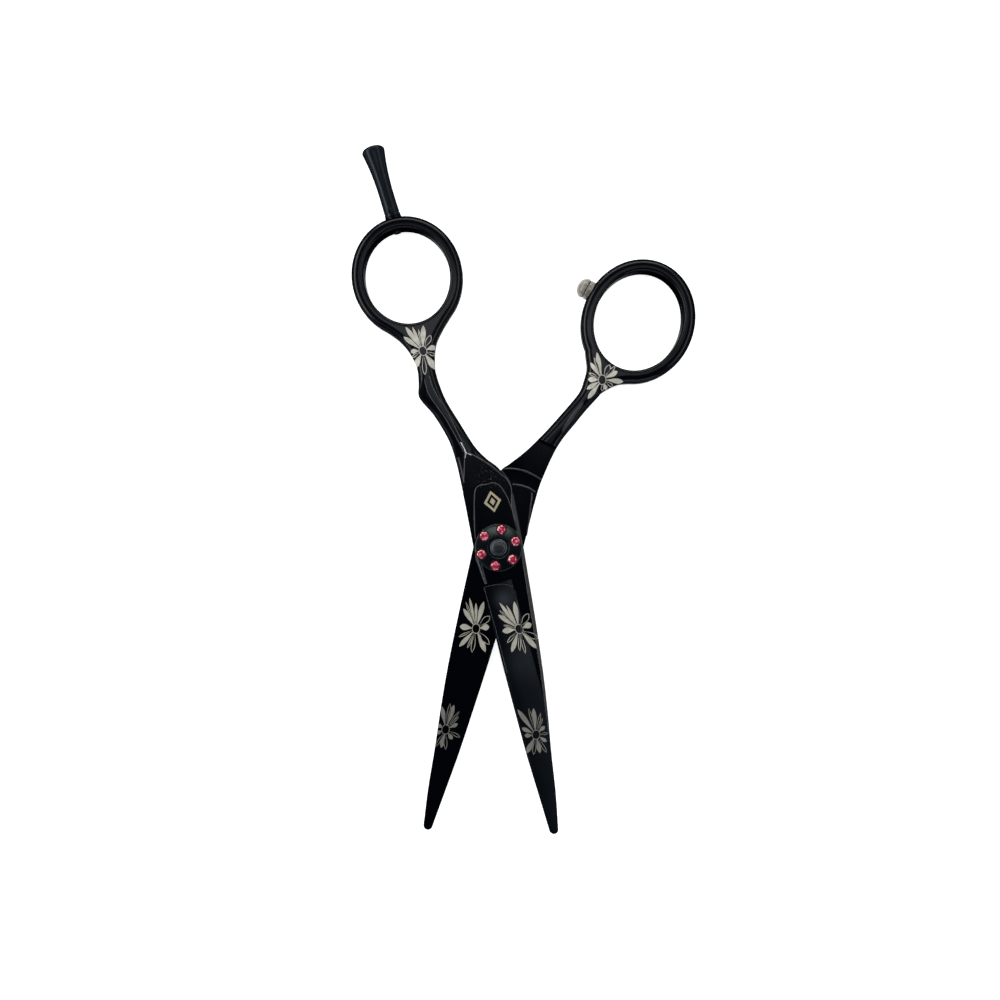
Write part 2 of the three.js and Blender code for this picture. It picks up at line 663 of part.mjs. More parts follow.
function makeFingerRest() {
  const base = REST_WASHER_THICKNESS + 2 * SEAT_GAP;
  const crown = base + REST_LENGTH;
  const shoulder = crown - REST_END_ROUND;
  const studEnd = -RING_WALL - REST_STUD_PROUD;
  const profile = [
    [0, studEnd],
    [REST_STUD_RADIUS, studEnd],
    [REST_STUD_RADIUS, base],
    [REST_BASE_RADIUS, base],
  ];
  for (let i = 1; i <= FLARE_STEPS; i += 1) {
    const share = i / FLARE_STEPS;
    profile.push([
      REST_BASE_RADIUS + (REST_TIP_RADIUS - REST_BASE_RADIUS) * share ** 2,
      base + (shoulder - base) * share,
    ]);
  }
  profile.push([REST_END_RADIUS, crown - REST_END_DOME]);
  profile.push([0, crown]);
  return part('finger_rest', laid(profile, restSeat, restAxis), restBlack);
}

// ---- Bumper ----

function makeBumperSeat() {
  const collarTop = SEAT_GAP + BUMPER_COLLAR_HEIGHT;
  const profile = [
    [0, -BUMPER_STUD_LENGTH],
    [BUMPER_STUD_RADIUS, -BUMPER_STUD_LENGTH],
    [BUMPER_STUD_RADIUS, SEAT_GAP],
    [BUMPER_COLLAR_RADIUS, SEAT_GAP],
    [BUMPER_COLLAR_RADIUS, collarTop],
    [BUMPER_STEM_RADIUS, collarTop],
    [BUMPER_STEM_RADIUS, collarTop + BUMPER_STEM_HEIGHT],
    [0, collarTop + BUMPER_STEM_HEIGHT],
  ];
  return part('bumper_seat', laid(profile, bumperSeat, bumperAxis), steel);
}

function makeBumperCap() {
  const bottom = 2 * SEAT_GAP + BUMPER_COLLAR_HEIGHT;
  const pocketTop = SEAT_GAP + BUMPER_COLLAR_HEIGHT + BUMPER_STEM_HEIGHT + SEAT_GAP;
  const pocketRadius = BUMPER_STEM_RADIUS + SEAT_GAP;
  const profile = [
    [0, pocketTop],
    [pocketRadius, pocketTop],
    [pocketRadius, bottom],
    [BUMPER_CAP_RADIUS, bottom],
  ];
  const straight = BUMPER_CAP_HEIGHT - BUMPER_CAP_RADIUS;
  for (let i = 0; i < DOME_STEPS; i += 1) {
    const angle = (i / DOME_STEPS) * (Math.PI / 2);
    profile.push([
      BUMPER_CAP_RADIUS * Math.cos(angle),
      bottom + straight + BUMPER_CAP_RADIUS * Math.sin(angle),
    ]);
  }
  profile.push([0, bottom + BUMPER_CAP_HEIGHT]);
  return part('bumper_cap', laid(profile, bumperSeat, bumperAxis), softGrey);
}

// ---- Assembly ----

const shears = new THREE.Group();

const fingerGroup = new THREE.Group();
fingerGroup.rotation.z = FINGER_TURN;
fingerGroup.add(
  makeFingerBlade(),
  makePivotBolt(),
  makeClickSpring(),
  makeIndexPlate(),
  makeDialScrew(),
  makeRestWasher(),
  makeFingerRest(),
);

const thumbGroup = new THREE.Group();
thumbGroup.rotation.z = THUMB_TURN;
thumbGroup.add(
  makeThumbBlade(),
  makePivotBush(),
  makeSlipWasher(),
  makeRideWasher(),
  makeBumperSeat(),
  makeBumperCap(),
);

const dialGroup = new THREE.Group();
dialGroup.rotation.z = DIAL_PHASE;
dialGroup.add(makeTensionDial());
for (let i = 0; i < CRYSTAL_COUNT; i += 1) {
  dialGroup.add(makeCrystal(i));
}

shears.add(fingerGroup, thumbGroup, dialGroup);

export default shears;
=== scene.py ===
"""Hair cutting shears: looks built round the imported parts, in millimetres, stored in metres."""

import math

import bmesh
import bpy
from mathutils import Matrix, Vector


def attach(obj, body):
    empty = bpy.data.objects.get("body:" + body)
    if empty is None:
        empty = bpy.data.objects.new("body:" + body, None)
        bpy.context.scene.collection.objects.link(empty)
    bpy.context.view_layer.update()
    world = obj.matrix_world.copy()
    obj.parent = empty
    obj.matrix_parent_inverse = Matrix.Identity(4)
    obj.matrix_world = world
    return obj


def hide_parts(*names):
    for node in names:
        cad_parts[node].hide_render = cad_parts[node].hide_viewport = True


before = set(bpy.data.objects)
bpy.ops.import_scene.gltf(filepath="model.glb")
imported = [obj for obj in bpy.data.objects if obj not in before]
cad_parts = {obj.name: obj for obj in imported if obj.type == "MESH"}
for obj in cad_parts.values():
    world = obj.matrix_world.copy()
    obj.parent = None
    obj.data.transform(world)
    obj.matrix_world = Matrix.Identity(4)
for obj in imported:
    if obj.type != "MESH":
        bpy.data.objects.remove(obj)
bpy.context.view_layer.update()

MM = 0.001

# ---- Levels and sizes of the two halves, in millimetres from the pivot ----

BLADE_LENGTH = 70.1
THUMB_TOP = 2.65
FINGER_BOTTOM = 2.75
HANDLE_HEIGHT = 5.4
MID_LEVEL = 2.7
BAR_HALF_WIDTH = 5.85  # flat bar round the pivot
BAR_SQUARE_TOP = 11.5  # the bar keeps its full width up to here
SHOULDER_RADIUS = 27.5  # inside this the halves are one blade thick
RING_WALL = 3.0
ROUND_WIDTH = 1.85  # edge rounding of the handles, across
ROUND_HEIGHT = 1.5  # and up
ROUND_STEPS = 10
SHANK_STEPS = 90
RING_STEPS = 120
HOLE_STEPS = 132
BLADE_STEPS = 48
TIP_STEPS = 12
DISC_STEPS = 160
HOLE_ROUND = 0.75  # rounding of the ring holes' rims

HEEL_Y = 8.6  # the cutting edge starts here
HEEL_RELIEF = 0.95  # how far the heel is cut back
HEEL_RELIEF_TOP = 2.0
HEEL_NOTCH = 0.35
HEEL_NOTCH_RISE = 1.05
EDGE_THICKNESS = 0.3
RIDGE_X = 1.6  # ridge between the outer bevel and the flat, at the heel
HOLLOW = 0.22  # depth of the hollow in the outer bevel
GRIND_DEPTH = 12  # of the block that grinds the outer bevel
GRIND_LENGTH = 1.2 * BLADE_LENGTH
TIP_RADIUS = 1.1
TIP_OFFSET = 0.25  # the tip's middle lies towards the spine

# (share of the blade's length, spine's distance, cutting edge's distance from the middle line)
BLADE_STATIONS = [
    (0.25, 5.45, 4.95),
    (0.43, 4.92, 4.25),
    (0.57, 4.2, 3.57),
    (0.72, 3.18, 2.77),
    (0.86, 2.4, 1.75),
]

# Each side of a shank is a list of (share of the ring's place, distance to the right of it)
FINGER = {
    "turn": math.radians(10.85),
    "ring": (-9.28, 67.65),
    "hole": (10.27, 11.42),
    "tilt": 0.0,
    "left": [
        (0.316, -3.16),
        (0.404, -3.15),
        (0.498, -4.58),
        (0.556, -6.3),
        (0.582, -6.55),
        (0.62, -5.65),
        (0.673, -4.86),
        (0.732, -5.35),
        (0.783, -6.85),
    ],
    "right": [
        (0.265, 6.36),
        (0.316, 4.04),
        (0.367, 2.3),
        (0.46, 0.67),
        (0.553, -0.77),
        (0.643, -0.93),
        (0.692, -0.18),
        (0.748, 1.44),
        (0.795, 4.1),
    ],
    "left_tangent": math.radians(236),
    "right_tangent": math.radians(311),
}

THUMB = {
    "turn": math.radians(-14),
    "ring": (19.35, 60.44),
    "hole": (10.45, 12.05),
    "tilt": math.radians(-8.15),
    "left": [
        (0.296, -9.6),
        (0.327, -8.76),
        (0.39, -6.98),
        (0.478, -5.34),
        (0.59, -3.9),
        (0.672, -3.16),
        (0.724, -3.75),
        (0.772, -4.71),
        (0.818, -6.6),
    ],
    "right": [
        (0.298, 0.46),
        (0.445, -0.65),
        (0.554, 0.12),
        (0.61, 0.65),
        (0.665, 1.37),
        (0.696, 1.87),
        (0.737, 3.95),
    ],
    "left_tangent": math.radians(228),
    "right_tangent": math.radians(286),
}

BOLT_HOLE_RADIUS = 2.05
BUSH_HOLE_RADIUS = 2.7
HEAD_POCKET_RADIUS = 4.35
HEAD_POCKET_TOP = 1.3
WASHER_POCKET_RADIUS = 4.05
WASHER_POCKET_FLOOR = 2.35
WASHER_POCKET_TOP = 3.05

SPOT_FACE_DEPTH = 0.3
REST_HOLE_RADIUS = 1.05
REST_SPOT_RADIUS = 2.05
REST_ANGLE = math.radians(92.6)  # where it stands on the ring
REST_AXIS = math.radians(96)  # where it points
BUMPER_HOLE_RADIUS = 0.95
BUMPER_SPOT_RADIUS = 2.2
BUMPER_ANGLE = math.radians(170)
BUMPER_AXIS = math.radians(165)

STRIP_SLOPE = 15  # degrees
CREASE_SLOPE = 27
WEDGE_TOP = 5
RELIEF_DEPTH = 0.3
RELIEF_TOP = 4

# ---- Node helper ----


class Value:
    """A socket that takes part in ordinary sums."""

    def __init__(self, shader, socket):
        self.shader = shader
        self.socket = socket

    def sum(self, operation, first, second):
        return self.shader.node("ShaderNodeMath", {"operation": operation}, {0: first, 1: second})

    def __add__(self, other):
        return self.sum("ADD", self, other)

    def __radd__(self, other):
        return self.sum("ADD", other, self)

    def __sub__(self, other):
        return self.sum("SUBTRACT", self, other)

    def __rsub__(self, other):
        return self.sum("SUBTRACT", other, self)

    def __mul__(self, other):
        return self.sum("MULTIPLY", self, other)

    def __rmul__(self, other):
        return self.sum("MULTIPLY", other, self)

    def __truediv__(self, other):
        return self.sum("DIVIDE", self, other)

    def __pow__(self, other):
        return self.sum("POWER", self, other)

    def clamped(self):
        return self.shader.node("ShaderNodeClamp", {}, {"Value": self})


def open_socket(sockets, name):
    """The socket of a number, or the one of a name that the node's settings leave in use."""
    if isinstance(name, int):
        return sockets[name]
    return next(s for s in sockets if s.name == name and s.enabled)


class Nodes:
    """A node tree that is filled through one method."""

    def __init__(self, tree):
        self.tree = tree

    def node(self, kind, settings, inputs, output=0):
        made = self.tree.nodes.new(kind)
        for name, value in settings.items():
            setattr(made, name, value)
        for name, value in inputs.items():
            self.feed(open_socket(made.inputs, name), value)
        return Value(self, open_socket(made.outputs, output))

    def feed(self, socket, value):
        if isinstance(value, Value):
            self.tree.links.new(value.socket, socket)
        elif value is not None:
            socket.default_value = value


class Shader(Nodes):
    """One material and its nodes."""

    def __init__(self, name):
        self.material = bpy.data.materials.new(name)
        self.material.use_nodes = True
        super().__init__(self.material.node_tree)
        self.surface = self.tree.nodes["Principled BSDF"]
        self.place = self.node("ShaderNodeTexCoord", {}, {}, "Object")

    def set(self, **inputs):
        for name, value in inputs.items():
            self.feed(self.surface.inputs[name.replace("_", " ")], value)

    def stretched(self, x, y, z):
        return self.node("ShaderNodeMapping", {}, {"Vector": self.place, "Scale": (x, y, z)})

    def noise(self, size, detail=3.0, roughness=0.5, place=None):
        """Cloudy noise whose features are about a size in millimetres."""
        inputs = {
            "Vector": place or self.place,
            "Scale": 1 / (size * MM),
            "Detail": detail,
            "Roughness": roughness,
        }
        return self.node("ShaderNodeTexNoise", {}, inputs)

    def blend(self, share, first, second):
        """A colour between two, each an (r, g, b) or a Value."""
        ends = [c if isinstance(c, Value) else (*c, 1) for c in (first, second)]
        inputs = {"Factor": share, "A": ends[0], "B": ends[1]}
        return self.node("ShaderNodeMix", {"data_type": "RGBA"}, inputs, "Result")

    def near(self, centre, reach):
        """One at a centre in millimetres, falling to nothing at its reach."""
        spot = tuple(c * MM for c in centre)
        distance = {"operation": "DISTANCE"}
        away = self.node("ShaderNodeVectorMath", distance, {0: self.place, 1: spot}, "Value")
        return (1 - away / (reach * MM)).clamped()

    def bump(self, height, distance, strength=1.0):
        inputs = {"Height": height, "Distance": distance * MM, "Strength": strength}
        return self.node("ShaderNodeBump", {}, inputs)


# ---- Materials ----


COATING_TINT = (0.06, 0.065, 0.075, 1)
SATIN_TINT = (0.1, 0.11, 0.12, 1)
BARE_METAL = (0.4, 0.4, 0.39)


def coating_material(name, low, high, roughness, painted_highlights=(), speckled=()):
    """Hard glossy coating. Painted highlights and speckled places are (centre, reach, amount), in
    millimetres.
    """
    shader = Shader(name)
    cloud = shader.noise(9.0, 2.0)
    grain = shader.noise(0.35, 4.0)
    # painted highlights and speckled wear both turn the colour towards bare metal and roughen it
    painted_sheen_and_wear = cloud * 0
    for centre, reach, amount in painted_highlights:
        painted_sheen_and_wear = painted_sheen_and_wear + amount * shader.near(centre, reach) ** 1.5
    speckle = ((shader.noise(0.5, 5.0, 0.75) - 0.56) * 9).clamped()
    for centre, reach, amount in speckled:
        painted_sheen_and_wear = painted_sheen_and_wear + amount * speckle * shader.near(centre, reach)
    shader.set(
        Base_Color=shader.blend(painted_sheen_and_wear.clamped(), shader.blend(cloud, low, high), BARE_METAL),
        Metallic=1.0,
        Specular_Tint=COATING_TINT,
        Roughness=roughness + 0.06 * cloud + 0.03 * grain + 0.5 * painted_sheen_and_wear,
        Normal=shader.bump(grain, 0.002, 0.5),
    )
    return shader.material


def satin_material(name, low, high, roughness, metallic=0.0):
    shader = Shader(name)
    cloud = shader.noise(3.0, 3.0)
    grain = shader.noise(0.12, 5.0, 0.6)
    shader.set(
        Base_Color=shader.blend(cloud, low, high),
        Roughness=roughness + 0.12 * (cloud - 0.5) + 0.08 * (grain - 0.5),
        Metallic=metallic,
        Specular_Tint=SATIN_TINT if metallic else (1, 1, 1, 1),
        Normal=shader.bump(grain, 0.004, 0.6),
        IOR=1.5,
        Specular_IOR_Level=0.3,
    )
    return shader.material


def brushed_material(name, low, high, roughness, stretch):
    shader = Shader(name)
    brush = shader.noise(0.5, 4.0, 0.6, shader.stretched(*stretch))
    cloud = shader.noise(2.5, 3.0)
    shader.set(
        Base_Color=shader.blend(0.5 * brush + 0.5 * cloud, low, high),
        Roughness=roughness + 0.2 * (brush - 0.5),
        Metallic=1.0,
        Normal=shader.bump(brush, 0.004, 0.5),
    )
    return shader.material


def engraved_material(name, low, high):
    shader = Shader(name)
    cloud = shader.noise(1.6, 4.0, 0.65)
    frost = shader.noise(0.14, 4.0, 0.7)
    share = ((cloud - 0.5) * 1.6 + 0.5 + (frost - 0.5) * 0.5).clamped()
    shader.set(
        Base_Color=shader.blend(share, low, high),
        Roughness=0.5 + 0.2 * frost,
        Metallic=0.15,
        Normal=shader.bump(frost, 0.01, 0.8),
    )
    return shader.material


def crystal_material():
    shader = Shader("pink cut crystal")
    size = 0.75 * MM
    # cells run from pink to dark red as painted sparkle highlights and dark facets, and the
    # emission is a painted glow
    sparkle_cells = shader.node("ShaderNodeTexVoronoi", {}, {"Vector": shader.place, "Scale": 1 / size})
    share = (sparkle_cells * 2.3 - 0.15).clamped()
    colour = shader.blend(share, (0.8, 0.33, 0.4), (0.3, 0.006, 0.03))
    shader.set(
        Base_Color=colour,
        Roughness=0.06 + 0.05 * share,
        IOR=1.75,
        Coat_Weight=1.0,
        Coat_Roughness=0.02,
        Emission_Color=colour,
        Emission_Strength=0.12,
    )
    return shader.material


def cap_material():
    shader = Shader("mottled grey silicone")
    cloud = shader.noise(1.1, 4.0, 0.6)
    grain = shader.noise(0.2, 4.0)
    share = ((cloud - 0.5) * 2.4 + 0.5).clamped()
    shader.set(
        Base_Color=shader.blend(share, (0.075, 0.07, 0.058), (0.27, 0.255, 0.215)),
        Roughness=0.22 + 0.15 * grain,
        Normal=shader.bump(cloud + 0.3 * grain, 0.03, 0.7),
        IOR=1.45,
        Coat_Weight=0.4,
        Coat_Roughness=0.1,
    )
    return shader.material


BLACKS = ((0.011, 0.012, 0.014), (0.017, 0.018, 0.019))
GLOSS = 0.19

coating = coating_material("gloss black coating", *BLACKS, GLOSS)
# the finger half's coating has two painted highlights on the blade, under the heel and on the outer
# bevel, and speckled places at the tombstone
finger_coating = coating_material(
    "gloss black coating, painted highlights on the blade",
    *BLACKS,
    GLOSS,
    painted_highlights=[((0.48, -12.69, 5.0), 3.4, 0.16), ((4.3, -28.0, 4.6), 7.0, 0.05)],
    speckled=[((-3.32, 16.6, 5.4), 4.5, 0.3), ((0.01, 16.12, 5.4), 4.0, 0.25)],
)
edge_line = coating_material("polished edge", (0.05, 0.054, 0.058), (0.085, 0.09, 0.09), 0.32)
# bright bare metal for short beads where the shank's creases fork: painted glints
glint_edge = coating_material("bright edge, painted glint", (0.5, 0.5, 0.5), (0.7, 0.7, 0.68), 0.3)
screw_black = coating_material(
    "blackened screw head", (0.04, 0.044, 0.047), (0.07, 0.074, 0.077), 0.36
)
dial_satin = satin_material(
    "satin dial coating", (0.028, 0.037, 0.034), (0.038, 0.049, 0.044), 0.25, 1.0
)
rest_satin = satin_material(
    "satin rest coating", (0.012, 0.015, 0.019), (0.018, 0.021, 0.026), 0.36, 1.0
)
# one engraved silver in three copies: lighter on the handles as painted light, darker on the lower
# blades as painted shade
engraved_painted_light = engraved_material(
    "engraved silver, painted light on the handles", (0.3, 0.29, 0.25), (0.7, 0.68, 0.6)
)
engraved = engraved_material("engraved silver", (0.26, 0.25, 0.205), (0.46, 0.445, 0.37))
engraved_dim = engraved_material(
    "engraved silver in shade", (0.1, 0.098, 0.085), (0.21, 0.205, 0.18)
)
gold = brushed_material("pale gold leaf", (0.62, 0.52, 0.3), (0.8, 0.72, 0.5), 0.42, (1, 3, 1))
steel = brushed_material("brushed steel", (0.5, 0.49, 0.46), (0.66, 0.65, 0.62), 0.3, (1, 4, 4))
bronze = brushed_material("turned bronze", (0.42, 0.28, 0.11), (0.6, 0.42, 0.18), 0.35, (1, 1, 5))
slip_plastic = satin_material("slip plastic", (0.72, 0.7, 0.64), (0.8, 0.78, 0.72), 0.5)
crystal = crystal_material()
cap_grey = cap_material()
# dark red on the crystals' bezels is painted shade of the pink crystals
crystal_shade_red = brushed_material("dark red, painted crystal shade", (0.05, 0.012, 0.018), (0.12, 0.02, 0.03), 0.35, (1, 1, 1))

# ---- Mesh tools, all in millimetres ----


def catmull(points, steps):
    """Steps along a smooth curve through points, without the first one."""
    last = len(points) - 1
    out = []
    for k in range(1, steps + 1):
        place = last * k / steps
        i = min(int(place), last - 1)
        t = place - i
        a = points[max(i - 1, 0)]
        b = points[i]
        c = points[min(i + 1, last)]
        d = points[min(i + 2, last)]
        pair = []
        for j in range(2):
            va = (c[j] - a[j]) / 2
            vb = (d[j] - b[j]) / 2
            cubic = (2 * b[j] - 2 * c[j] + va + vb) * t**3
            square = (-3 * b[j] + 3 * c[j] - 2 * va - vb) * t**2
            pair.append(cubic + square + va * t + b[j])
        out.append(tuple(pair))
    return out


def loop_of(bm, points):
    """A closed loop of edges through points of two or three coordinates."""
    verts = [bm.verts.new(Vector(p).to_3d()) for p in points]
    return [bm.edges.new((v, verts[(i + 1) % len(verts)])) for i, v in enumerate(verts)]


def raised(bm, low, high):
    """Makes a solid of flat faces at level nought, from a low level to a high one."""
    bmesh.ops.translate(bm, verts=bm.verts, vec=(0, 0, low))
    made = bmesh.ops.extrude_face_region(bm, geom=bm.faces[:])
    top = [v for v in made["geom"] if isinstance(v, bmesh.types.BMVert)]
    bmesh.ops.translate(bm, verts=top, vec=(0, 0, high - low))
    bmesh.ops.recalc_face_normals(bm, faces=bm.faces)
    return bm


def slab(points, low, high):
    """An upright solid over one outline."""
    bm = bmesh.new()
    bmesh.ops.contextual_create(bm, geom=loop_of(bm, points))
    return raised(bm, low, high)


def frame_slab(outer, inner, low, high):
    """An upright wall between two loops of the same length."""
    bm = bmesh.new()
    first = loop_of(bm, outer)
    second = loop_of(bm, inner)
    bmesh.ops.bridge_loops(bm, edges=first + second)
    return raised(bm, low, high)


def flat_faces(bm, level):
    return [f for f in bm.faces if all(abs(v.co.z - level) < 1e-4 for v in f.verts)]


def rounded(bm, level, width, height, steps):
    """Rounds the rim of the flat face at a level, a quarter of an ellipse wide and high."""
    faces = flat_faces(bm, level)
    for k in range(steps):
        a = math.pi / 2 * k / steps
        b = math.pi / 2 * (k + 1) / steps
        bmesh.ops.inset_region(
            bm,
            faces=faces,
            use_boundary=True,
            use_even_offset=True,
            thickness=width * (math.cos(a) - math.cos(b)),
            depth=height * (math.sin(b) - math.sin(a)),
        )


def swept(path, profile):
    """A profile of (across, up) carried along a path of (x, y, z), mitred at the bends."""
    bm = bmesh.new()
    points = [Vector(p) for p in path]
    ways = [(b - a).to_2d().normalized() for a, b in zip(points, points[1:])]
    rims = []
    for point, back, fore in zip(points, [ways[0], *ways], [*ways, ways[-1]]):
        along = (back + fore).normalized()
        side = Vector((along.y, -along.x))
        reach = 1 / max(side.dot(Vector((fore.y, -fore.x))), 0.3)
        rim = []
        for across, up in profile:
            spot = side * across * reach
            rim.append((point.x + spot.x, point.y + spot.y, point.z + up))
        rims.append(loop_of(bm, rim))
    for first, second in zip(rims, rims[1:]):
        bmesh.ops.bridge_loops(bm, edges=first + second)
    bmesh.ops.contextual_create(bm, geom=rims[0])
    bmesh.ops.contextual_create(bm, geom=rims[-1])
    bmesh.ops.recalc_face_normals(bm, faces=bm.faces)
    return bm


def turned(profile, steps=64):
    """A turned piece from (radius, height) pairs, from axis to axis or back to the first."""
    bm = bmesh.new()
    verts = [bm.verts.new((r, 0, h)) for r, h in profile]
    edges = [bm.edges.new(pair) for pair in zip(verts, verts[1:])]
    bmesh.ops.spin(
        bm,
        geom=verts + edges,
        cent=(0, 0, 0),
        axis=(0, 0, 1),
        angle=2 * math.pi,
        steps=steps,
        use_merge=True,
    )
    bmesh.ops.remove_doubles(bm, verts=bm.verts, dist=1e-4)
    bmesh.ops.recalc_face_normals(bm, faces=bm.faces)
    return bm


def spun(bm, angle):
    bmesh.ops.rotate(bm, cent=(0, 0, 0), matrix=Matrix.Rotation(angle, 3, "Z"), verts=bm.verts)
    return bm


def moved(bm, by):
    bmesh.ops.translate(bm, vec=by, verts=bm.verts)
    return bm


def block(low, high):
    bm = bmesh.new()
    bmesh.ops.create_cube(bm, size=1)
    bmesh.ops.scale(bm, vec=Vector(high) - Vector(low), verts=bm.verts)
    return moved(bm, (Vector(high) + Vector(low)) / 2)


def rod(radius, start, end):
    return [(0, start), (radius, start), (radius, end), (0, end)]


def dome(radius, base, rise, steps, power=1):
    """The points of a domed profile after its edge, up to the crown on the axis."""
    turns = [math.pi / 2 * k / steps for k in range(1, steps)]
    points = [(radius * math.cos(a) ** power, base + rise * math.sin(a)) for a in turns]
    return [*points, (0, base + rise)]


def gather(target, source):
    """Adds a mesh to another and uses it up."""
    mesh = bpy.data.meshes.new("work")
    source.to_mesh(mesh)
    source.free()
    target.from_mesh(mesh)
    bpy.data.meshes.remove(mesh)


def combined(bm, tool, operation):
    """bm joined with, cut by or kept inside tool. Both are used up."""
    items = []
    for source in (bm, tool):
        mesh = bpy.data.meshes.new("work")
        source.to_mesh(mesh)
        source.free()
        item = bpy.data.objects.new("work", mesh)
        bpy.context.scene.collection.objects.link(item)
        items.append(item)
    step = items[0].modifiers.new("work", "BOOLEAN")
    step.operation = operation
    step.solver = "MANIFOLD"
    step.object = items[1]
    graph = bpy.context.evaluated_depsgraph_get()
    result = bmesh.new()
    result.from_mesh(items[0].evaluated_get(graph).to_mesh())
    for item in items:
        mesh = item.data
        bpy.data.objects.remove(item)
        bpy.data.meshes.remove(mesh)
    return result


def less(bm, *tools):
    """bm cut by each tool in turn."""
    for tool in tools:
        bm = combined(bm, tool, "DIFFERENCE")
    return bm


def piece(name, bm, material, body, sharp=25, replaces=(), weighted=False):
    """Stores a finished mesh as a visible piece that rides on a body."""
    bmesh.ops.remove_doubles(bm, verts=bm.verts, dist=5e-4)
    bmesh.ops.dissolve_degenerate(bm, dist=2e-4, edges=bm.edges)
    limit = math.radians(sharp)
    for face in bm.faces:
        face.smooth = True
    for edge in bm.edges:
        edge.smooth = len(edge.link_faces) == 2 and edge.calc_face_angle(0) < limit
    bmesh.ops.scale(bm, vec=(MM, MM, MM), verts=bm.verts)
    mesh = bpy.data.meshes.new(name)
    bm.to_mesh(mesh)
    bm.free()
    mesh.materials.append(material)
    item = bpy.data.objects.new(name, mesh)
    bpy.context.scene.collection.objects.link(item)
    if weighted:
        finish = item.modifiers.new("normals", "WEIGHTED_NORMAL")
        finish.keep_sharp = True
        finish.weight = 50
    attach(item, body)
    if replaces:
        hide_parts(*replaces)


# ---- Forgings ----


def ring_point(half, angle, wall):
    """A point on a ring, a wall's width outside its hole."""
    a, b = half["hole"]
    point = Vector(((a + wall) * math.cos(angle), (b + wall) * math.sin(angle)))
    point.rotate(Matrix.Rotation(half["tilt"], 2))
    return tuple(point + Vector(half["ring"]))


def side_points(half, name):
    x, y = half["ring"]
    return [(x * share + offset, y * share) for share, offset in half[name]]


def handle_outline(half):
    left_top = (-BAR_HALF_WIDTH, BAR_SQUARE_TOP)
    right_top = (BAR_HALF_WIDTH, BAR_SQUARE_TOP)
    start = half["left_tangent"]
    end = half["right_tangent"] - 2 * math.pi
    outline = [(-BAR_HALF_WIDTH, 0), left_top]
    left = [left_top, *side_points(half, "left"), ring_point(half, start, RING_WALL)]
    outline += catmull(left, SHANK_STEPS)
    for k in range(1, RING_STEPS):
        angle = start + (end - start) * k / RING_STEPS
        outline.append(ring_point(half, angle, RING_WALL))
    right = [ring_point(half, end, RING_WALL), *reversed(side_points(half, "right")), right_top]
    outline += [right[0], *catmull(right, SHANK_STEPS), (BAR_HALF_WIDTH, 0)]
    return outline


def finger_hole(half):
    """Cuts a ring's hole and rounds both its rims."""
    a, b = half["hole"]
    top = HANDLE_HEIGHT
    turn = [math.pi / 2 * k / 8 for k in range(9)]
    low_rim = [(a + HOLE_ROUND * (1 - math.sin(t)), HOLE_ROUND * (1 - math.cos(t))) for t in turn]
    profile = [(0, -1), (a + HOLE_ROUND, -1), *low_rim]
    profile += [(r, top - h) for r, h in reversed(low_rim)]
    profile += [(a + HOLE_ROUND, top + 1), (0, top + 1)]
    bm = turned(profile, HOLE_STEPS)
    bmesh.ops.scale(bm, vec=(1, b / a, 1), verts=bm.verts)
    return moved(spun(bm, half["tilt"]), Vector(half["ring"]).to_3d())


def handle_body(half):
    bm = slab(handle_outline(half), ROUND_HEIGHT, HANDLE_HEIGHT - ROUND_HEIGHT)
    rounded(bm, HANDLE_HEIGHT - ROUND_HEIGHT, ROUND_WIDTH, ROUND_HEIGHT, ROUND_STEPS)
    rounded(bm, ROUND_HEIGHT, ROUND_WIDTH, ROUND_HEIGHT, ROUND_STEPS)
    for vert in bm.verts:
        for level in (0.0, HANDLE_HEIGHT):
            if abs(vert.co.z - level) < 1e-3:
                vert.co.z = level
    return less(bm, finger_hole(half))


def blade_outline():
    spine = [(offset, -share * BLADE_LENGTH) for share, offset, _ in BLADE_STATIONS]
    edge = [(-offset, -share * BLADE_LENGTH) for share, _, offset in BLADE_STATIONS]
    tip_y = TIP_RADIUS - BLADE_LENGTH
    heel = (HEEL_NOTCH - BAR_HALF_WIDTH, -HEEL_Y)
    tip = (TIP_OFFSET - TIP_RADIUS, tip_y)
    outline = [
        (-BAR_HALF_WIDTH, BAR_SQUARE_TOP),
        (-BAR_HALF_WIDTH, -HEEL_RELIEF_TOP),
        (HEEL_RELIEF - BAR_HALF_WIDTH, HEEL_NOTCH_RISE - HEEL_Y),
        (HEEL_RELIEF - BAR_HALF_WIDTH, HEEL_NOTCH - HEEL_Y),
        heel,
        *catmull([heel, *edge, tip], BLADE_STEPS),
    ]
    for k in range(1, TIP_STEPS + 1):
        angle = math.pi * (1 + k / TIP_STEPS)
        x = TIP_OFFSET + TIP_RADIUS * math.cos(angle)
        outline.append((x, tip_y + TIP_RADIUS * math.sin(angle)))
    spine_top = (BAR_HALF_WIDTH, -HEEL_RELIEF_TOP)
    outline += catmull([outline[-1], *reversed(spine), spine_top], BLADE_STEPS)
    outline.append((BAR_HALF_WIDTH, BAR_SQUARE_TOP))
    return outline


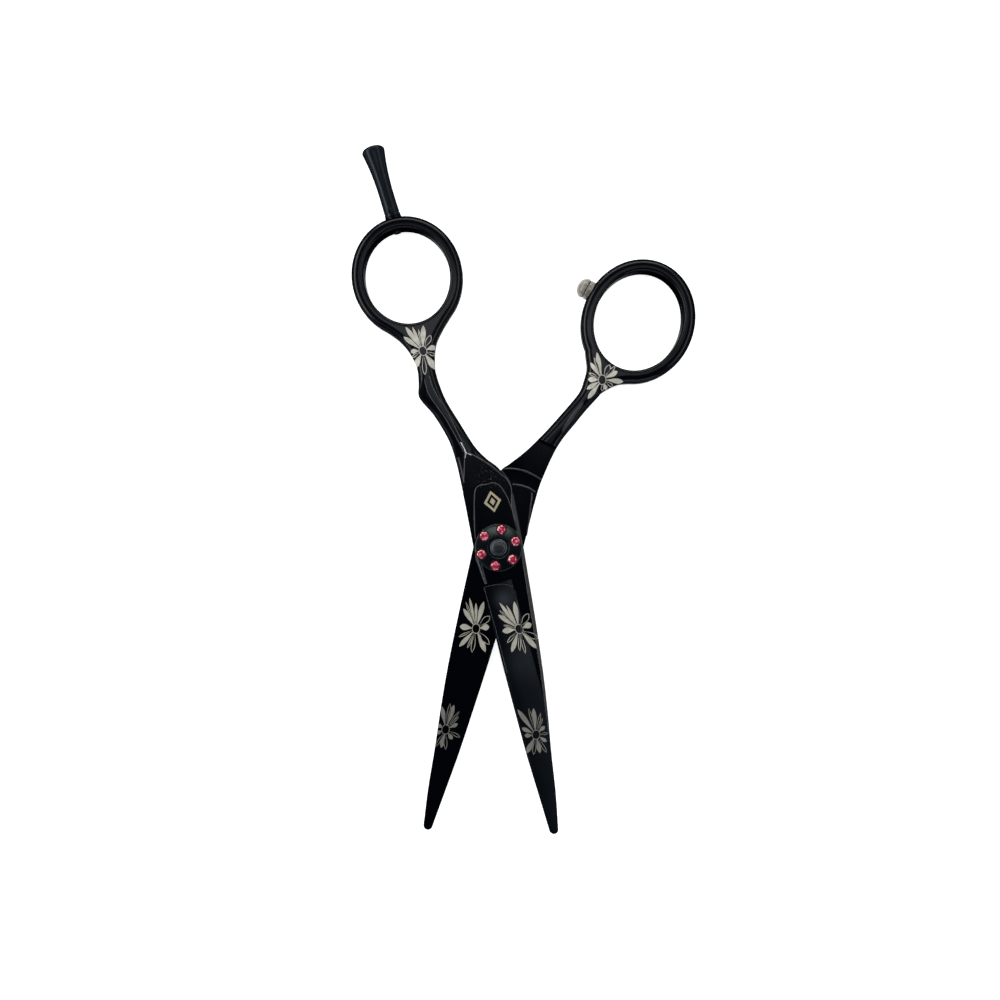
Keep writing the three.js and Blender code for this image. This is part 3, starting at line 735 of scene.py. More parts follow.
def hollow_cutter(bottom, top, up):
    """The block that grinds the outer bevel, its face bowed to leave a hollow."""
    outer = top if up > 0 else bottom
    inner = bottom if up > 0 else top
    edge_level = inner + up * EDGE_THICKNESS
    heel = Vector((HEEL_NOTCH - BAR_HALF_WIDTH, -HEEL_Y, edge_level))
    tip = Vector((TIP_OFFSET - TIP_RADIUS, TIP_RADIUS - BLADE_LENGTH, edge_level))
    ridge = Vector((RIDGE_X, -HEEL_Y, outer))
    along = (tip - heel).normalized()
    across = ridge - heel
    across -= along * across.dot(along)
    width = across.length
    across.normalize()
    outward = along.cross(across)
    outward *= up * (1 if outward.z > 0 else -1)
    bm = bmesh.new()
    points = []
    for k in range(-8, 17):
        t = k / 8 if k > 0 else k / 2
        dip = HOLLOW * 4 * t * (1 - t) if 0 < t < 1 else 0
        points.append(heel + across * width * t - outward * dip)
    points.append(points[-1] + outward * GRIND_DEPTH)
    points.append(points[0] + outward * GRIND_DEPTH)
    edges = loop_of(bm, points)
    bmesh.ops.contextual_create(bm, geom=edges)
    made = bmesh.ops.extrude_face_region(bm, geom=bm.faces[:])
    far = [v for v in made["geom"] if isinstance(v, bmesh.types.BMVert)]
    bmesh.ops.translate(bm, verts=far, vec=along * GRIND_LENGTH)
    bmesh.ops.recalc_face_normals(bm, faces=bm.faces)
    return bm


def blade_body(bottom, top, up):
    """A blade with its outer bevel up (1) or down (-1)."""
    return less(slab(blade_outline(), bottom, top), hollow_cutter(bottom, top, up))


def mirrored(bm):
    bmesh.ops.scale(bm, vec=(-1, 1, 1), verts=bm.verts)
    bmesh.ops.reverse_faces(bm, faces=bm.faces)
    return bm


def laid(bm, seat, angle, turn):
    """Lays an upright turned piece level on its seat, then turns it with its half."""
    level = Matrix.Rotation(math.pi / 2, 3, "Y")
    bmesh.ops.rotate(bm, cent=(0, 0, 0), matrix=level, verts=bm.verts)
    return spun(moved(spun(bm, angle), (seat[0], seat[1], MID_LEVEL)), turn)


def ring_hole(half, angle, lean, stud, seat):
    """The tools that cut a stud's hole and its spot face into a ring."""
    outside = ring_point(half, angle, RING_WALL)
    through = laid(turned(rod(stud, -RING_WALL - 1, 1), 40), outside, lean, half["turn"])
    face = laid(turned(rod(seat, -SPOT_FACE_DEPTH, 1), 40), outside, lean, half["turn"])
    return through, face


rest_seat = ring_point(FINGER, REST_ANGLE, RING_WALL - SPOT_FACE_DEPTH)
bumper_seat = ring_point(THUMB, BUMPER_ANGLE, RING_WALL - SPOT_FACE_DEPTH)


def at_level(points, level):
    return [(x, y, level) for x, y in points]


def wedge(slope, reach, side):
    """Profile that grinds a face falling away to one side of its path."""
    rise = math.tan(math.radians(slope))
    shape = [(-0.001, 0), (reach, -reach * rise), (reach, WEDGE_TOP), (-0.001, WEDGE_TOP)]
    return [(side * across, up) for across, up in shape]


# Crease lines on the finger half's upper face, in the assembled frame
strip_left = [(-7.99, 22.31), (-11.88, 29.44), (-14.26, 33.01), (-16.64, 36.58), (-17.59, 40.14)]
strip_right = [
    *[(-17.83, 43.0), (-16.4, 40.62), (-15.57, 38.0), (-14.14, 35.39)],
    *[(-11.41, 30.87), (-7.6, 22.78), (-3.09, 20.4), (2.15, 17.55)],
]
crease_top = [(-3.56, 20.74), (-0.23, 18.93), (1.67, 17.08), (2.98, 14.46)]
heel_crease = [(-4.63, -1.71), (-4.18, -3.38), (-2.85, -8.13), (-2.71, -8.65)]
# The handle's rounding ends inside this outline
head = [
    *[(-7.99, 22.31), (-6.65, 22.16), (-4.61, 21.12), (-1.9, 19.41), (0.01, 18.03)],
    *[(2.38, 20.17), (7.61, 18.26), (7.61, 8.28), (-13.79, 8.28)],
    *[(-13.79, 11.61), (-8.51, 12.56), (-8.22, 15.41)],
]


def spine_line():
    """The inner edge of the spine's chamfer."""
    points = [(BAR_HALF_WIDTH - inset, y) for inset, y in ((0.9, 9), (0.85, 4), (0.8, -2))]
    for (share, spine, _), inset in zip(BLADE_STATIONS, (0.8, 0.62, 0.42, 0.1)):
        points.append((spine - inset, -share * BLADE_LENGTH))
    turn = Matrix.Rotation(FINGER["turn"], 2)
    return [tuple(turn @ Vector(p)) for p in points]


spine_crease = [crease_top[0], *catmull(crease_top + spine_line(), 60)]


def finger_forging():
    disc = turned(rod(SHOULDER_RADIUS, -1, FINGER_BOTTOM), DISC_STEPS)
    bm = less(handle_body(FINGER), disc)
    bm = combined(bm, blade_body(FINGER_BOTTOM, HANDLE_HEIGHT, 1), "UNION")
    spun(bm, FINGER["turn"])
    square = spun(slab(handle_outline(FINGER), FINGER_BOTTOM, HANDLE_HEIGHT), FINGER["turn"])
    square = combined(square, slab(head, FINGER_BOTTOM - 1, HANDLE_HEIGHT + 1), "INTERSECT")
    bm = combined(bm, square, "UNION")
    run_out = HANDLE_HEIGHT + 1.5
    left = [*at_level(strip_left, HANDLE_HEIGHT), (-18.54, 42.52, run_out)]
    right = [(-15.21, 43.95, run_out), *at_level(strip_right[1:], HANDLE_HEIGHT)]
    crease = at_level(spine_crease, HANDLE_HEIGHT)
    heel = at_level(heel_crease, HANDLE_HEIGHT)
    return less(
        bm,
        swept(left, wedge(STRIP_SLOPE, 5, -1)),
        swept(right, wedge(STRIP_SLOPE, 5, -1)),
        swept(crease, wedge(CREASE_SLOPE, 3, -1)),
        swept(heel, wedge(CREASE_SLOPE, 3, 1)),
        *ring_hole(FINGER, REST_ANGLE, REST_AXIS, REST_HOLE_RADIUS, REST_SPOT_RADIUS),
        turned(rod(WASHER_POCKET_RADIUS, 0, WASHER_POCKET_TOP)),
        turned(rod(BOLT_HOLE_RADIUS, 0, 7)),
    )


def relief_ring():
    """A ring that grinds a shallow step into the thumb half's inner face."""
    floor = THUMB_TOP - RELIEF_DEPTH
    start = (15.6, RELIEF_TOP)
    rim = (19.5, THUMB_TOP + 0.05)
    profile = [start, (15.7, floor), (18.5, floor), rim, (19.5, RELIEF_TOP), start]
    return turned(profile, DISC_STEPS)


def thumb_forging():
    disc = turned(rod(SHOULDER_RADIUS, THUMB_TOP, HANDLE_HEIGHT + 1), DISC_STEPS)
    bm = less(handle_body(THUMB), disc)
    bm = combined(bm, mirrored(blade_body(0, THUMB_TOP, -1)), "UNION")
    spun(bm, THUMB["turn"])
    return less(
        bm,
        combined(relief_ring(), block((-40, 6, 0), (40, 40, 8)), "INTERSECT"),
        *ring_hole(THUMB, BUMPER_ANGLE, BUMPER_AXIS, BUMPER_HOLE_RADIUS, BUMPER_SPOT_RADIUS),
        turned(rod(HEAD_POCKET_RADIUS, -1, HEAD_POCKET_TOP)),
        turned(rod(BUSH_HOLE_RADIUS, -1, 6)),
        turned(rod(WASHER_POCKET_RADIUS, WASHER_POCKET_FLOOR, 6)),
    )


finger_bm = finger_forging()
thumb_bm = thumb_forging()

# ---- Engraved flowers ----

# Each petal is (degrees clockwise from straight up, length, width, filled or outlined),
# in flower units
FLOWERS = {
    "upper_blade": [
        (-37, 32.5, 5.0, 1),
        (-28, 27.0, 3.4, 1),
        (-10, 28.2, 6.8, 1),
        (-57, 25.0, 6.4, 1),
        (-100, 17.0, 8.6, 1),
        (66, 13.5, 9.0, 1),
        (-163, 25.0, 6.6, 1),
        (137, 26.4, 7.0, 1),
        (-47, 27.0, 3.4, 0),
        (31, 18.5, 9.0, 0),
        (116, 21.5, 8.0, 0),
        (-141, 19.0, 4.6, 0),
        (178, 22.5, 4.2, 0),
        (165, 25.5, 4.4, 0),
        (-78, 16.0, 3.2, 0),
    ],
    "rear_upper_blade": [
        (-12, 32.0, 4.0, 1),
        (0, 26.0, 4.2, 1),
        (16, 28.5, 7.0, 1),
        (-32, 24.0, 6.0, 1),
        (-82, 16.5, 9.0, 1),
        (82, 13.5, 9.0, 1),
        (-137, 25.0, 6.4, 1),
        (158, 25.6, 7.4, 1),
        (48, 19.0, 9.0, 0),
        (140, 21.0, 8.0, 0),
        (-116, 19.5, 3.8, 0),
        (-170, 24.5, 6.0, 0),
        (-156, 22.0, 3.4, 0),
        (-21, 29.0, 3.2, 0),
    ],
    "rear_handle": [
        (-11, 28.0, 6.4, 1),
        (-34, 21.0, 5.6, 1),
        (-88, 14.0, 8.0, 1),
        (61, 17.5, 7.6, 1),
        (94, 21.5, 6.8, 1),
        (-121, 18.0, 6.4, 1),
        (-143, 24.0, 6.8, 1),
        (155, 10.5, 6.0, 1),
        (27, 17.0, 7.5, 0),
        (44, 19.0, 5.0, 0),
        (120, 13.0, 5.0, 0),
        (-20, 24.0, 3.4, 0),
        (178, 11.0, 4.5, 0),
        (-62, 15.0, 4.0, 0),
    ],
    "handle": [
        (-36, 29.6, 6.4, 1),
        (-24, 26.0, 4.0, 1),
        (1, 25.5, 7.2, 1),
        (-54, 24.0, 6.4, 1),
        (-92, 12.5, 6.4, 1),
        (70, 13.5, 7.6, 1),
        (145, 22.0, 9.0, 1),
        (-152, 19.0, 9.0, 1),
        (27, 17.5, 7.6, 0),
        (175, 24.0, 6.6, 0),
        (-12, 22.0, 3.0, 0),
        (108, 13.0, 5.0, 0),
        (-118, 13.0, 4.4, 0),
    ],
    "lower_blade": [
        (-37, 31.0, 7.0, 1),
        (-6, 27.3, 6.6, 1),
        (42, 12.8, 5.4, 1),
        (-67, 15.6, 6.0, 1),
        (-99, 11.6, 6.4, 1),
        (121, 12.2, 5.6, 1),
        (-154, 21.8, 7.0, 1),
        (168, 19.0, 6.2, 1),
        (-16, 27.5, 4.0, 0),
        (11, 23.3, 3.8, 0),
        (20, 18.7, 3.2, 0),
        (78, 11.7, 4.0, 0),
        (-173, 20.7, 5.5, 0),
        (149, 20.5, 5.0, 0),
    ],
    "rear_lower_blade": [
        (-9, 23.7, 6.2, 1),
        (19, 26.3, 7.0, 1),
        (65, 13.7, 5.4, 1),
        (146, 12.0, 6.0, 1),
        (-166, 19.2, 6.2, 1),
        (-60, 9.5, 6.4, 1),
        (-112, 10.0, 6.0, 1),
        (10, 26.8, 5.0, 0),
        (37, 23.0, 3.8, 0),
        (46, 18.6, 3.2, 0),
        (118, 16.5, 5.0, 0),
        (180, 20.5, 5.0, 0),
        (-150, 20.0, 4.4, 0),
    ],
}
FLOWER_UNIT = 0.238  # millimetres
FLOWER_REACH = 36
PETAL_START = 4.2
PETAL_FULLNESS = 1.55
PETAL_WIDTH = 0.33  # half the width that is filled
PETAL_STEPS = 14
LINE_WIDTH = 0.16  # of an outlined petal, in millimetres
EYE = (3.5, 4.6)
EYE_LINE = 0.55
EYE_STEPS = 28
LIFT = 0.012  # of the engraving's skin above the coating, in millimetres
ABOVE = 8  # a level over every upper face


def petal_loop(centre, bearing, length, width, grow=0.0):
    length, width, start = (size * FLOWER_UNIT for size in (length, width, PETAL_START))
    angle = math.radians(90 - bearing)
    along = Vector((math.cos(angle), math.sin(angle)))
    side = Vector((along.y, -along.x))
    near = max(start - grow, 0.05)
    far = length + grow
    sides = [[], []]
    for k in range(PETAL_STEPS + 1):
        t = k / PETAL_STEPS
        belly = max(math.sin(math.pi * t**PETAL_FULLNESS), 0) ** 0.8
        half = (PETAL_WIDTH * width + grow) * belly
        root = 0.1 * (width / 2) * (1 - t)
        spot = Vector(centre) + along * (near + (far - near) * t)
        for sign, points in zip((1, -1), sides):
            points.append(tuple(spot + side * sign * (half + root)))
    return sides[0] + sides[1][::-1][1:]


def eye_loop(centre, lean, grow):
    turn = Matrix.Rotation(-math.radians(lean), 2)
    points = []
    for k in range(EYE_STEPS):
        angle = 2 * math.pi * k / EYE_STEPS
        spot = Vector(((EYE[0] + grow) * math.cos(angle), (EYE[1] + grow) * math.sin(angle)))
        points.append(tuple(Vector(centre) + turn @ spot * FLOWER_UNIT))
    return points


def skin(source, tool, lift=LIFT):
    """The part of a body's upper surface under a tool, lifted a little."""
    cut = combined(source.copy(), tool, "INTERSECT")
    gone = [f for f in cut.faces if f.normal.z < 0.2]
    bmesh.ops.delete(cut, geom=gone, context="FACES")
    bmesh.ops.translate(cut, verts=cut.verts, vec=(0, 0, lift))
    return cut


def flower(name, source, level, centre, lean, material, body):
    """One flower as a skin over a body's upper face, from a level up."""
    reach = FLOWER_REACH * FLOWER_UNIT
    x, y = centre
    around = block((x - reach, y - reach, level), (x + reach, y + reach, ABOVE + 1))
    near = combined(source.copy(), around, "INTERSECT")
    low = level + 0.02
    bm = bmesh.new()
    for bearing, length, width, filled in FLOWERS[name]:
        petal = petal_loop(centre, bearing, length, width)
        if filled:
            tool = slab(petal, low, ABOVE)
        else:
            inner = petal_loop(centre, bearing, length, width, -LINE_WIDTH)
            tool = frame_slab(petal, inner, low, ABOVE)
        gather(bm, skin(near, tool))
    loops = (eye_loop(centre, lean, EYE_LINE), eye_loop(centre, lean, 0))
    gather(bm, skin(near, frame_slab(*loops, low, ABOVE), 1.5 * LIFT))
    near.free()
    piece(name + "_flower", bm, material, body)


REAR_LEVEL = 0.4
flower("upper_blade", finger_bm, FINGER_BOTTOM, (4.89, -19.48), -25, engraved, "finger_half")
flower("lower_blade", finger_bm, FINGER_BOTTOM, (8.99, -44.88), 10, engraved_dim, "finger_half")
flower("handle", finger_bm, MID_LEVEL, (-17.95, 46.68), -20, engraved_painted_light, "finger_half")
flower("rear_upper_blade", thumb_bm, REAR_LEVEL, (-5.41, -19.65), 0, engraved, "thumb_half")
flower("rear_lower_blade", thumb_bm, REAR_LEVEL, (-12.70, -43.88), 10, engraved_dim, "thumb_half")
flower("rear_handle", thumb_bm, MID_LEVEL, (24.64, 39.81), 0, engraved_painted_light, "thumb_half")

# ---- Gold motif, grooves and polished edge lines ----


def bead(radius, sides=8):
    """A flattened round profile."""
    turns = [2 * math.pi * k / sides for k in range(sides)]
    return [(radius * math.cos(a), 0.6 * radius * math.sin(a)) for a in turns]


def line(target, points, level, radius, steps=0):
    """A thin rounded edge along a path, smoothed when steps are given."""
    path = [points[0], *catmull(points, steps)] if steps else points
    gather(target, swept(at_level(path, level - 0.3 * radius), bead(radius)))


TOP = HANDLE_HEIGHT
tombstone = [
    *[(-5.46, 2.09), (-5.68, 4.95), (-5.73, 8.04), (-5.73, 11.13), (-5.58, 13.39)],
    *[(-5.04, 14.36), (-4.13, 14.79), (-2.85, 14.98), (-1.9, 15.24), (-0.95, 15.29)],
    *[(0.15, 14.7), (1.17, 13.51), (2.15, 11.75), (2.95, 9.82), (3.86, 7.33), (4.67, 4.23)],
]
head_edge = [
    *[strip_left[0], (-6.65, 22.16), (-4.61, 21.12), (-1.9, 19.41)],
    *[(0.48, 17.46), (1.84, 16.34), (2.86, 14.79)],
]
flat_side = [(3.93, -10.03), (4.36, -12.17), (5.0, -16.22), (5.71, -22.16)]
flat_top = [(-3.21, -9.44), (-1.42, -8.96), (1.19, -8.75), (3.1, -9.2), (3.93, -10.03)]
cutting_edge = [(-3.46, -9.51), (-2.69, -12.39), (-1.63, -16.23), (0.17, -22.71), (2.11, -30.15)]
heel_edge = [(-4.89, -2.66), (-4.42, -4.09), (-3.8, -6.23), (-3.04, -8.61)]
lines = bmesh.new()
line(lines, strip_left, TOP, 0.09, 30)
line(lines, strip_right[1:-2], TOP, 0.09, 30)
line(lines, [(-8.22, 15.41), strip_left[0]], TOP, 0.13)
line(lines, head_edge, TOP, 0.18, 30)
line(lines, tombstone, TOP, 0.14, 60)
line(lines, spine_crease[8:-3], TOP, 0.1)
line(lines, flat_side, TOP - 0.02, 0.1, 12)
line(lines, flat_top, TOP - 0.05, 0.08, 16)
line(lines, cutting_edge, 3.1, 0.12, 24)
line(lines, heel_edge, TOP - 0.06, 0.27, 12)
piece("polished_edges", lines, edge_line, "finger_half", sharp=60)

# short bright beads where the creases fork are painted glints
bright_top = TOP + 0.03
fork = (-7.72, 22.43)
sparkle = bmesh.new()
line(sparkle, [(-8.91, 24.92), (-8.2, 23.5), fork], bright_top, 0.1, 8)
line(sparkle, [fork, (-6.42, 21.93)], bright_top, 0.1)
line(sparkle, [fork, (-7.94, 21.24)], bright_top, 0.07)
piece("painted_glint_edges", sparkle, glint_edge, "finger_half", sharp=60)

RIDGE_STEPS = 24
ridge = [(14.04, 26.47), (15.7, 28.73), (17.6, 31.34), (19.98, 34.32), (22.12, 37.05)]
ridge = [ridge[0], *catmull(ridge, RIDGE_STEPS)]
rise = [0.45 * math.sin(math.pi * k / RIDGE_STEPS) ** 0.4 for k in range(RIDGE_STEPS + 1)]
ridge = [(x, y, TOP - 0.75 + up) for (x, y), up in zip(ridge, rise)]
upper_step = [(1.2, 18.7), (3.61, 18.75), (6.25, 18.22), (8.42, 17.26), (10.34, 16.06)]
lower_step = [(3.37, 14.98), (5.29, 14.74), (7.21, 14.14), (8.78, 13.17)]
bar_side = [(7.93, 13.05), (8.08, 12.09), (7.84, 10.65), (7.36, 7.04), (6.68, 2.71)]
rear_lines = bmesh.new()
gather(rear_lines, swept(ridge, bead(0.62, 12)))
line(rear_lines, upper_step, THUMB_TOP, 0.22, 24)
line(rear_lines, lower_step, THUMB_TOP, 0.24, 16)
line(rear_lines, bar_side, THUMB_TOP, 0.22, 20)
piece("rear_polished_edges", rear_lines, edge_line, "thumb_half", sharp=60)


def lozenge(centre, width, height, turn):
    corners = [(0, height), (width, 0), (0, -height), (-width, 0)]
    c, s = math.cos(turn), math.sin(turn)
    return [(centre[0] + x * c - y * s, centre[1] + x * s + y * c) for x, y in corners]


MOTIF_CENTRE = (-1.42, 10.89)
MOTIF_SIZES = ((2.1, 2.6), (1.35, 1.75), (0.7, 0.95))
outer, inner, core = (lozenge(MOTIF_CENTRE, *size, FINGER["turn"]) for size in MOTIF_SIZES)
motif_top = HANDLE_HEIGHT + 0.03
motif = bmesh.new()
gather(motif, frame_slab(outer, inner, HANDLE_HEIGHT, motif_top))
gather(motif, slab(core, HANDLE_HEIGHT, motif_top))
piece("gold_motif", motif, gold, "finger_half")

piece(
    "finger_forging", finger_bm, finger_coating, "finger_half", 22, ["finger_blade"], True
)
piece("thumb_forging", thumb_bm, coating, "thumb_half", 22, ["thumb_blade"], True)

# ---- Tension dial ----

DIAL_PHASE = math.radians(-9.5)
DIAL_RADIUS = 5.65
DIAL_BOTTOM = 5.65
DIAL_TOP = 7.55
DIAL_SKIRT_RADIUS = 5.05  # inside the skirt
DIAL_WEB_BOTTOM = 6.2
DIAL_MOUTH_FLOOR = 6.8
PITCH_RADIUS = 4.33
CRYSTAL_COUNT = 6
CRYSTAL_RADIUS = 1.075


def arc(centre_r, centre_h, radius, start, end, steps):
    """Points on a round part of a profile, between two bearings in degrees."""
    out = []
    for k in range(steps + 1):
        angle = math.radians(start + (end - start) * k / steps)
        out.append((centre_r + radius * math.cos(angle), centre_h + radius * math.sin(angle)))
    return out


def crystal_place(i):
    angle = math.pi / 2 - 2 * math.pi * i / CRYSTAL_COUNT + DIAL_PHASE
    return Vector((PITCH_RADIUS * math.cos(angle), PITCH_RADIUS * math.sin(angle), 0))


dial_profile = [
    *[(0, DIAL_BOTTOM), (DIAL_RADIUS - 0.05, DIAL_BOTTOM), (DIAL_RADIUS, DIAL_BOTTOM + 0.05)],
    *arc(DIAL_RADIUS - 0.3, DIAL_TOP - 0.72, 0.3, 0, 75, 6),
    *[(4.8, DIAL_TOP - 0.29), (4.0, DIAL_TOP - 0.15), (3.3, DIAL_TOP - 0.05), (2.75, DIAL_TOP)],
    *arc(2.6, DIAL_TOP - 0.15, 0.15, 90, 180, 4),
    *[(2.45, DIAL_MOUTH_FLOOR), (0, DIAL_MOUTH_FLOOR)],
]
pocket_profile = [
    *[(0, DIAL_TOP - 0.86), (0.5, DIAL_TOP - 0.86), (CRYSTAL_RADIUS + 0.05, DIAL_TOP - 0.3)],
    *[(CRYSTAL_RADIUS + 0.05, DIAL_TOP + 1), (0, DIAL_TOP + 1)],
]
dial = less(
    turned(dial_profile, 128),
    turned(rod(DIAL_SKIRT_RADIUS, 5, DIAL_WEB_BOTTOM), 96),
    turned(rod(BOLT_HOLE_RADIUS, 5, 8), 64),
    *[moved(turned(pocket_profile, 36), crystal_place(i)) for i in range(CRYSTAL_COUNT)],
)
piece("dial_cap", dial, dial_satin, "dial", 30, ["tension_dial"], True)

bezel_profile = [
    *[(CRYSTAL_RADIUS + 0.04, DIAL_TOP - 0.6), (CRYSTAL_RADIUS + 0.22, DIAL_TOP - 0.6)],
    *arc(CRYSTAL_RADIUS + 0.13, DIAL_TOP - 0.08, 0.09, 0, 180, 8),
]
# the bezels carry the painted dark red shade round each crystal
bezels = bmesh.new()
for i in range(CRYSTAL_COUNT):
    gather(bezels, moved(turned([*bezel_profile, bezel_profile[0]], 36), crystal_place(i)))
piece("crystal_bezels", bezels, crystal_shade_red, "dial", 60)


def cut_gem():
    """Eight main facets above and below a thin girdle, with a flat table."""
    shoulder = DIAL_TOP + 0.02
    table = DIAL_TOP + 0.13
    profile = [
        *[(0, DIAL_TOP - 0.78), (CRYSTAL_RADIUS, DIAL_TOP - 0.22)],
        *[(CRYSTAL_RADIUS, DIAL_TOP - 0.16), (CRYSTAL_RADIUS * 0.8, shoulder)],
        *[(CRYSTAL_RADIUS * 0.5, table), (0, table)],
    ]
    bm = turned(profile, 8)
    middle = [v for v in bm.verts if abs(v.co.z - shoulder) < 1e-3]
    twist = Matrix.Rotation(math.radians(22.5), 3, "Z")
    bmesh.ops.rotate(bm, cent=(0, 0, 0), matrix=twist, verts=middle)
    bmesh.ops.triangulate(bm, faces=[f for f in bm.faces if abs(f.normal.z) < 0.98])
    return bm


for i in range(CRYSTAL_COUNT):
    gem = moved(spun(cut_gem(), 0.4 * i), crystal_place(i))
    piece(f"cut_crystal_{i + 1}", gem, crystal, "dial", 5, [f"crystal_{i + 1}"])

# ---- Dial screw ----

SCREW_RADIUS = 1.75
SCREW_SHOULDER = 7.15
SCREW_DOME = 0.55
SOCKET_RADIUS = 0.62
SOCKET_FLOOR = 7.56
screw_profile = [
    *[(0, 4.75), (0.8, 4.75), (0.8, 6.95), (1.6, 6.95)],
    *[(SCREW_RADIUS, 7.05), (SCREW_RADIUS, SCREW_SHOULDER)],
    *dome(SCREW_RADIUS, SCREW_SHOULDER, SCREW_DOME, 10),
]
screw = less(turned(screw_profile, 64), turned(rod(SOCKET_RADIUS, SOCKET_FLOOR, 9), 6))
piece("domed_screw", screw, screw_black, "finger_half", 30, ["dial_screw"], True)

# ---- Finger rest ----

REST_LENGTH = 17.65
REST_BASE = 0.55
REST_NECK = 1.84
REST_NECK_TOP = REST_BASE + 1.35
REST_FLARE = 0.94
REST_CROWN = 1.1
rest_profile = [
    *[(0, -3.3), (0.85, -3.3), (1.0, -3.15), (1.0, REST_BASE)],
    *[(1.75, REST_BASE), (1.95, REST_BASE + 0.15), (1.9, REST_BASE + 0.9)],
    *[(1.74, REST_BASE + 1.05), (1.74, REST_BASE + 1.2), (REST_NECK, REST_NECK_TOP)],
]
for k in range(1, 17):
    t = k / 16
    radius = REST_NECK - 0.1 * math.sin(math.pi * t) + REST_FLARE * t**2.8
    rest_profile.append((radius, REST_NECK_TOP + (REST_LENGTH - 1.35 - REST_CROWN) * t))
shoulder = REST_BASE + REST_LENGTH - REST_CROWN
rest_profile += dome(REST_NECK + REST_FLARE, shoulder, REST_CROWN, 12, 0.6)
rest = laid(turned(rest_profile, 72), rest_seat, REST_AXIS, FINGER["turn"])
piece("flared_rest", rest, rest_satin, "finger_half", 35, ["finger_rest"], True)

# ---- Bumper ----

bumper_place = (bumper_seat, BUMPER_AXIS, THUMB["turn"])
collar_profile = [
    *[(0, -2.2), (0.8, -2.2), (0.9, -2.1), (0.9, 0.05)],
    *[(2.25, 0.05), (2.38, 0.25), (2.38, 1.16), (2.3, 1.28), (2.12, 1.3)],
    *[(1.05, 1.3), (1.05, 2.4), (0.9, 2.55), (0, 2.55)],
]
collar = laid(turned(collar_profile, 64), *bumper_place)
piece("bumper_collar", collar, cap_grey, "thumb_half", 35, ["bumper_seat"], True)

groove_profile = [(1.12, 1.31), (2.2, 1.31), (2.2, 1.43), (1.12, 1.43), (1.12, 1.31)]
groove = laid(turned(groove_profile, 64), *bumper_place)
piece("bumper_groove", groove, coating, "thumb_half", 35)

CAP_RADIUS = 2.42
CAP_SHOULDER = 1.84
CAP_DOME = 1.88
cap_profile = [
    *[(0, 2.65), (1.1, 2.65), (1.1, 1.44), (2.15, 1.44)],
    *[(2.32, 1.48), (2.4, 1.6), (CAP_RADIUS, CAP_SHOULDER)],
    *dome(CAP_RADIUS, CAP_SHOULDER, CAP_DOME, 16),
]
cap = laid(turned(cap_profile, 72), *bumper_place)
piece("domed_cap", cap, cap_grey, "thumb_half", 40, ["bumper_cap"], True)

# ---- Carried-over pieces of the pivot ----

for name, material in (
    ("pivot_bolt", steel),
    ("click_spring", steel),
    ("index_plate", steel),
    ("rest_washer", coating),
    ("pivot_bush", bronze),
    ("slip_washer", slip_plastic),
    ("ride_washer", slip_plastic),
):
    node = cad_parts[name]
    node.data.materials.clear()
    node.data.materials.append(material)

# ---- Floor, lights and camera ----

floor_shader = Shader("white table")
floor_cloud = floor_shader.noise(40.0, 2.0)
floor_shader.set(
    Base_Color=floor_shader.blend(floor_cloud, (0.88, 0.88, 0.88), (0.9, 0.9, 0.9)),
    Roughness=0.85,
    Emission_Color=(1, 1, 1, 1),
    Emission_Strength=0.84,
)
FLOOR_HALF_WIDTH = 3.0  # metres
FLOOR_LEVEL = -0.0004
floor_bm = bmesh.new()
bmesh.ops.create_grid(floor_bm, x_segments=2, y_segments=2, size=FLOOR_HALF_WIDTH)
moved(floor_bm, (0, 0, FLOOR_LEVEL))
floor_mesh = bpy.data.meshes.new("table")
floor_bm.to_mesh(floor_mesh)
floor_bm.free()
floor_mesh.materials.append(floor_shader.material)
floor = bpy.data.objects.new("table", floor_mesh)
bpy.context.scene.collection.objects.link(floor)


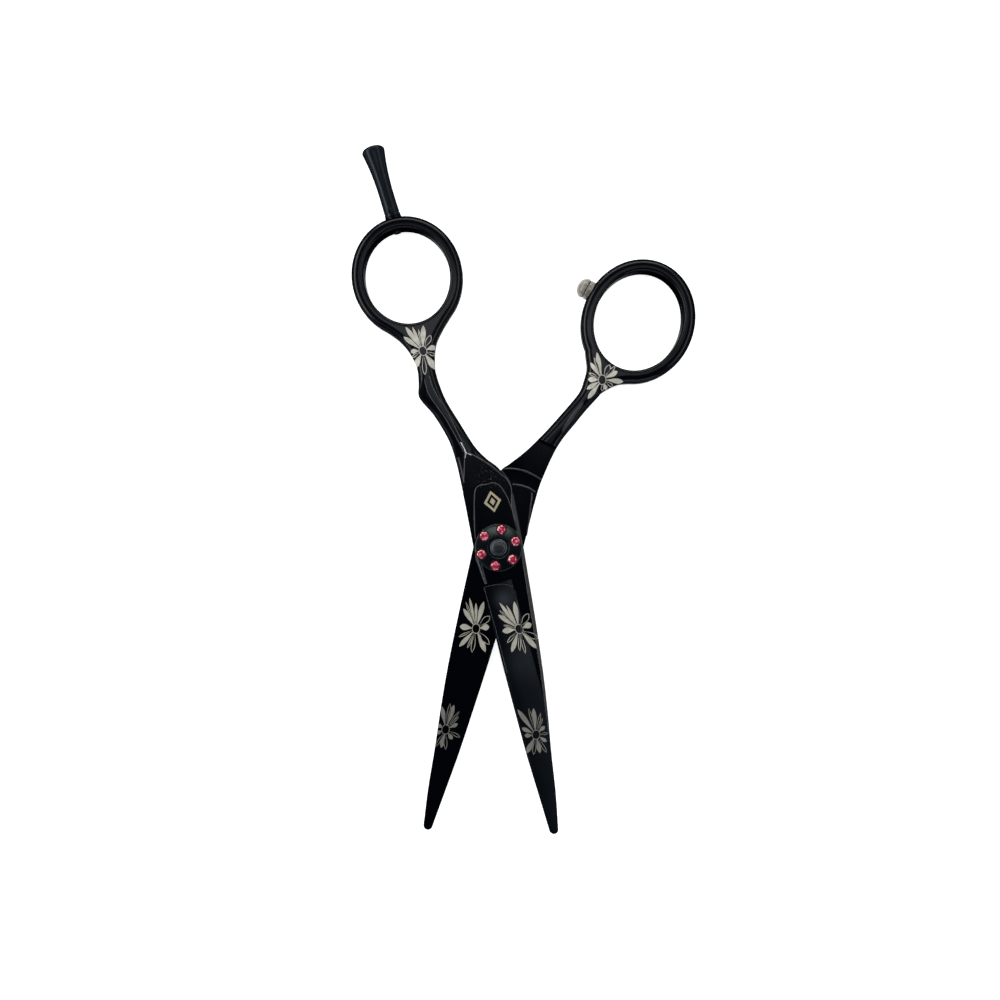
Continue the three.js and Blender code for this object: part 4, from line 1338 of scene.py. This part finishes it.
def soft_light(name, place, size, power, colour=(1, 1, 1)):
    """A panel turned to the middle, in metres and watts."""
    light = bpy.data.lights.new(name, "AREA")
    light.shape = "RECTANGLE"
    light.size, light.size_y = size
    light.energy = power
    light.color = colour
    item = bpy.data.objects.new(name, light)
    item.location = place
    item.rotation_euler = (-Vector(place)).to_track_quat("-Z", "Y").to_euler()
    bpy.context.scene.collection.objects.link(item)


WARM = (1.0, 0.97, 0.9)
COOL = (0.68, 0.84, 1.0)
soft_light("left panel", (-0.58, 0.12, 0.35), (0.9, 0.18), 4.2, WARM)
soft_light("right panel", (0.52, 0.1, 0.42), (0.9, 0.16), 1.7, WARM)
soft_light("back panel", (0.0, 0.75, 0.32), (1.0, 0.2), 4.6, WARM)
soft_light("near card", (0.0, 0.092, 0.265), (0.16, 0.055), 0.085)
soft_light("high left panel", (-0.4, -0.3, 0.5), (0.6, 0.3), 0.26, COOL)
soft_light("front panel", (0.05, -0.7, 0.3), (1.0, 0.14), 1.6)

# The coating reflects a dim blue room, and the camera sees a pale one past the table
world = bpy.data.worlds.new("room")
world.use_nodes = True
world.node_tree.nodes.remove(world.node_tree.nodes["Background"])
room = Nodes(world.node_tree)
seen = room.node("ShaderNodeLightPath", {}, {}, "Is Camera Ray")
dim = room.node("ShaderNodeBackground", {}, {"Color": (0.1, 0.18, 0.4, 1), "Strength": 0.25})
pale = room.node("ShaderNodeBackground", {}, {"Color": (0.86, 0.87, 0.88, 1)})
surface = room.node("ShaderNodeMixShader", {}, {0: seen, 1: dim, 2: pale})
room.feed(world.node_tree.nodes["World Output"].inputs["Surface"], surface)
bpy.context.scene.world = world
bpy.context.scene.view_settings.view_transform = "Standard"

CAMERA_DISTANCE = 0.25  # metres, straight above the middle level
CAMERA_SPOT = (0.00036, 0.01125)
SEEN_WIDTH = 0.2402  # of the middle level
camera = bpy.data.cameras.new("camera")
camera.sensor_width = 36
camera.lens = camera.sensor_width * CAMERA_DISTANCE / SEEN_WIDTH
camera.clip_start = 0.01
camera.clip_end = 10
camera_item = bpy.data.objects.new("camera", camera)
camera_item.location = (*CAMERA_SPOT, CAMERA_DISTANCE + MID_LEVEL * MM)
bpy.context.scene.collection.objects.link(camera_item)
bpy.context.scene.camera = camera_item

bpy.context.view_layer.update()
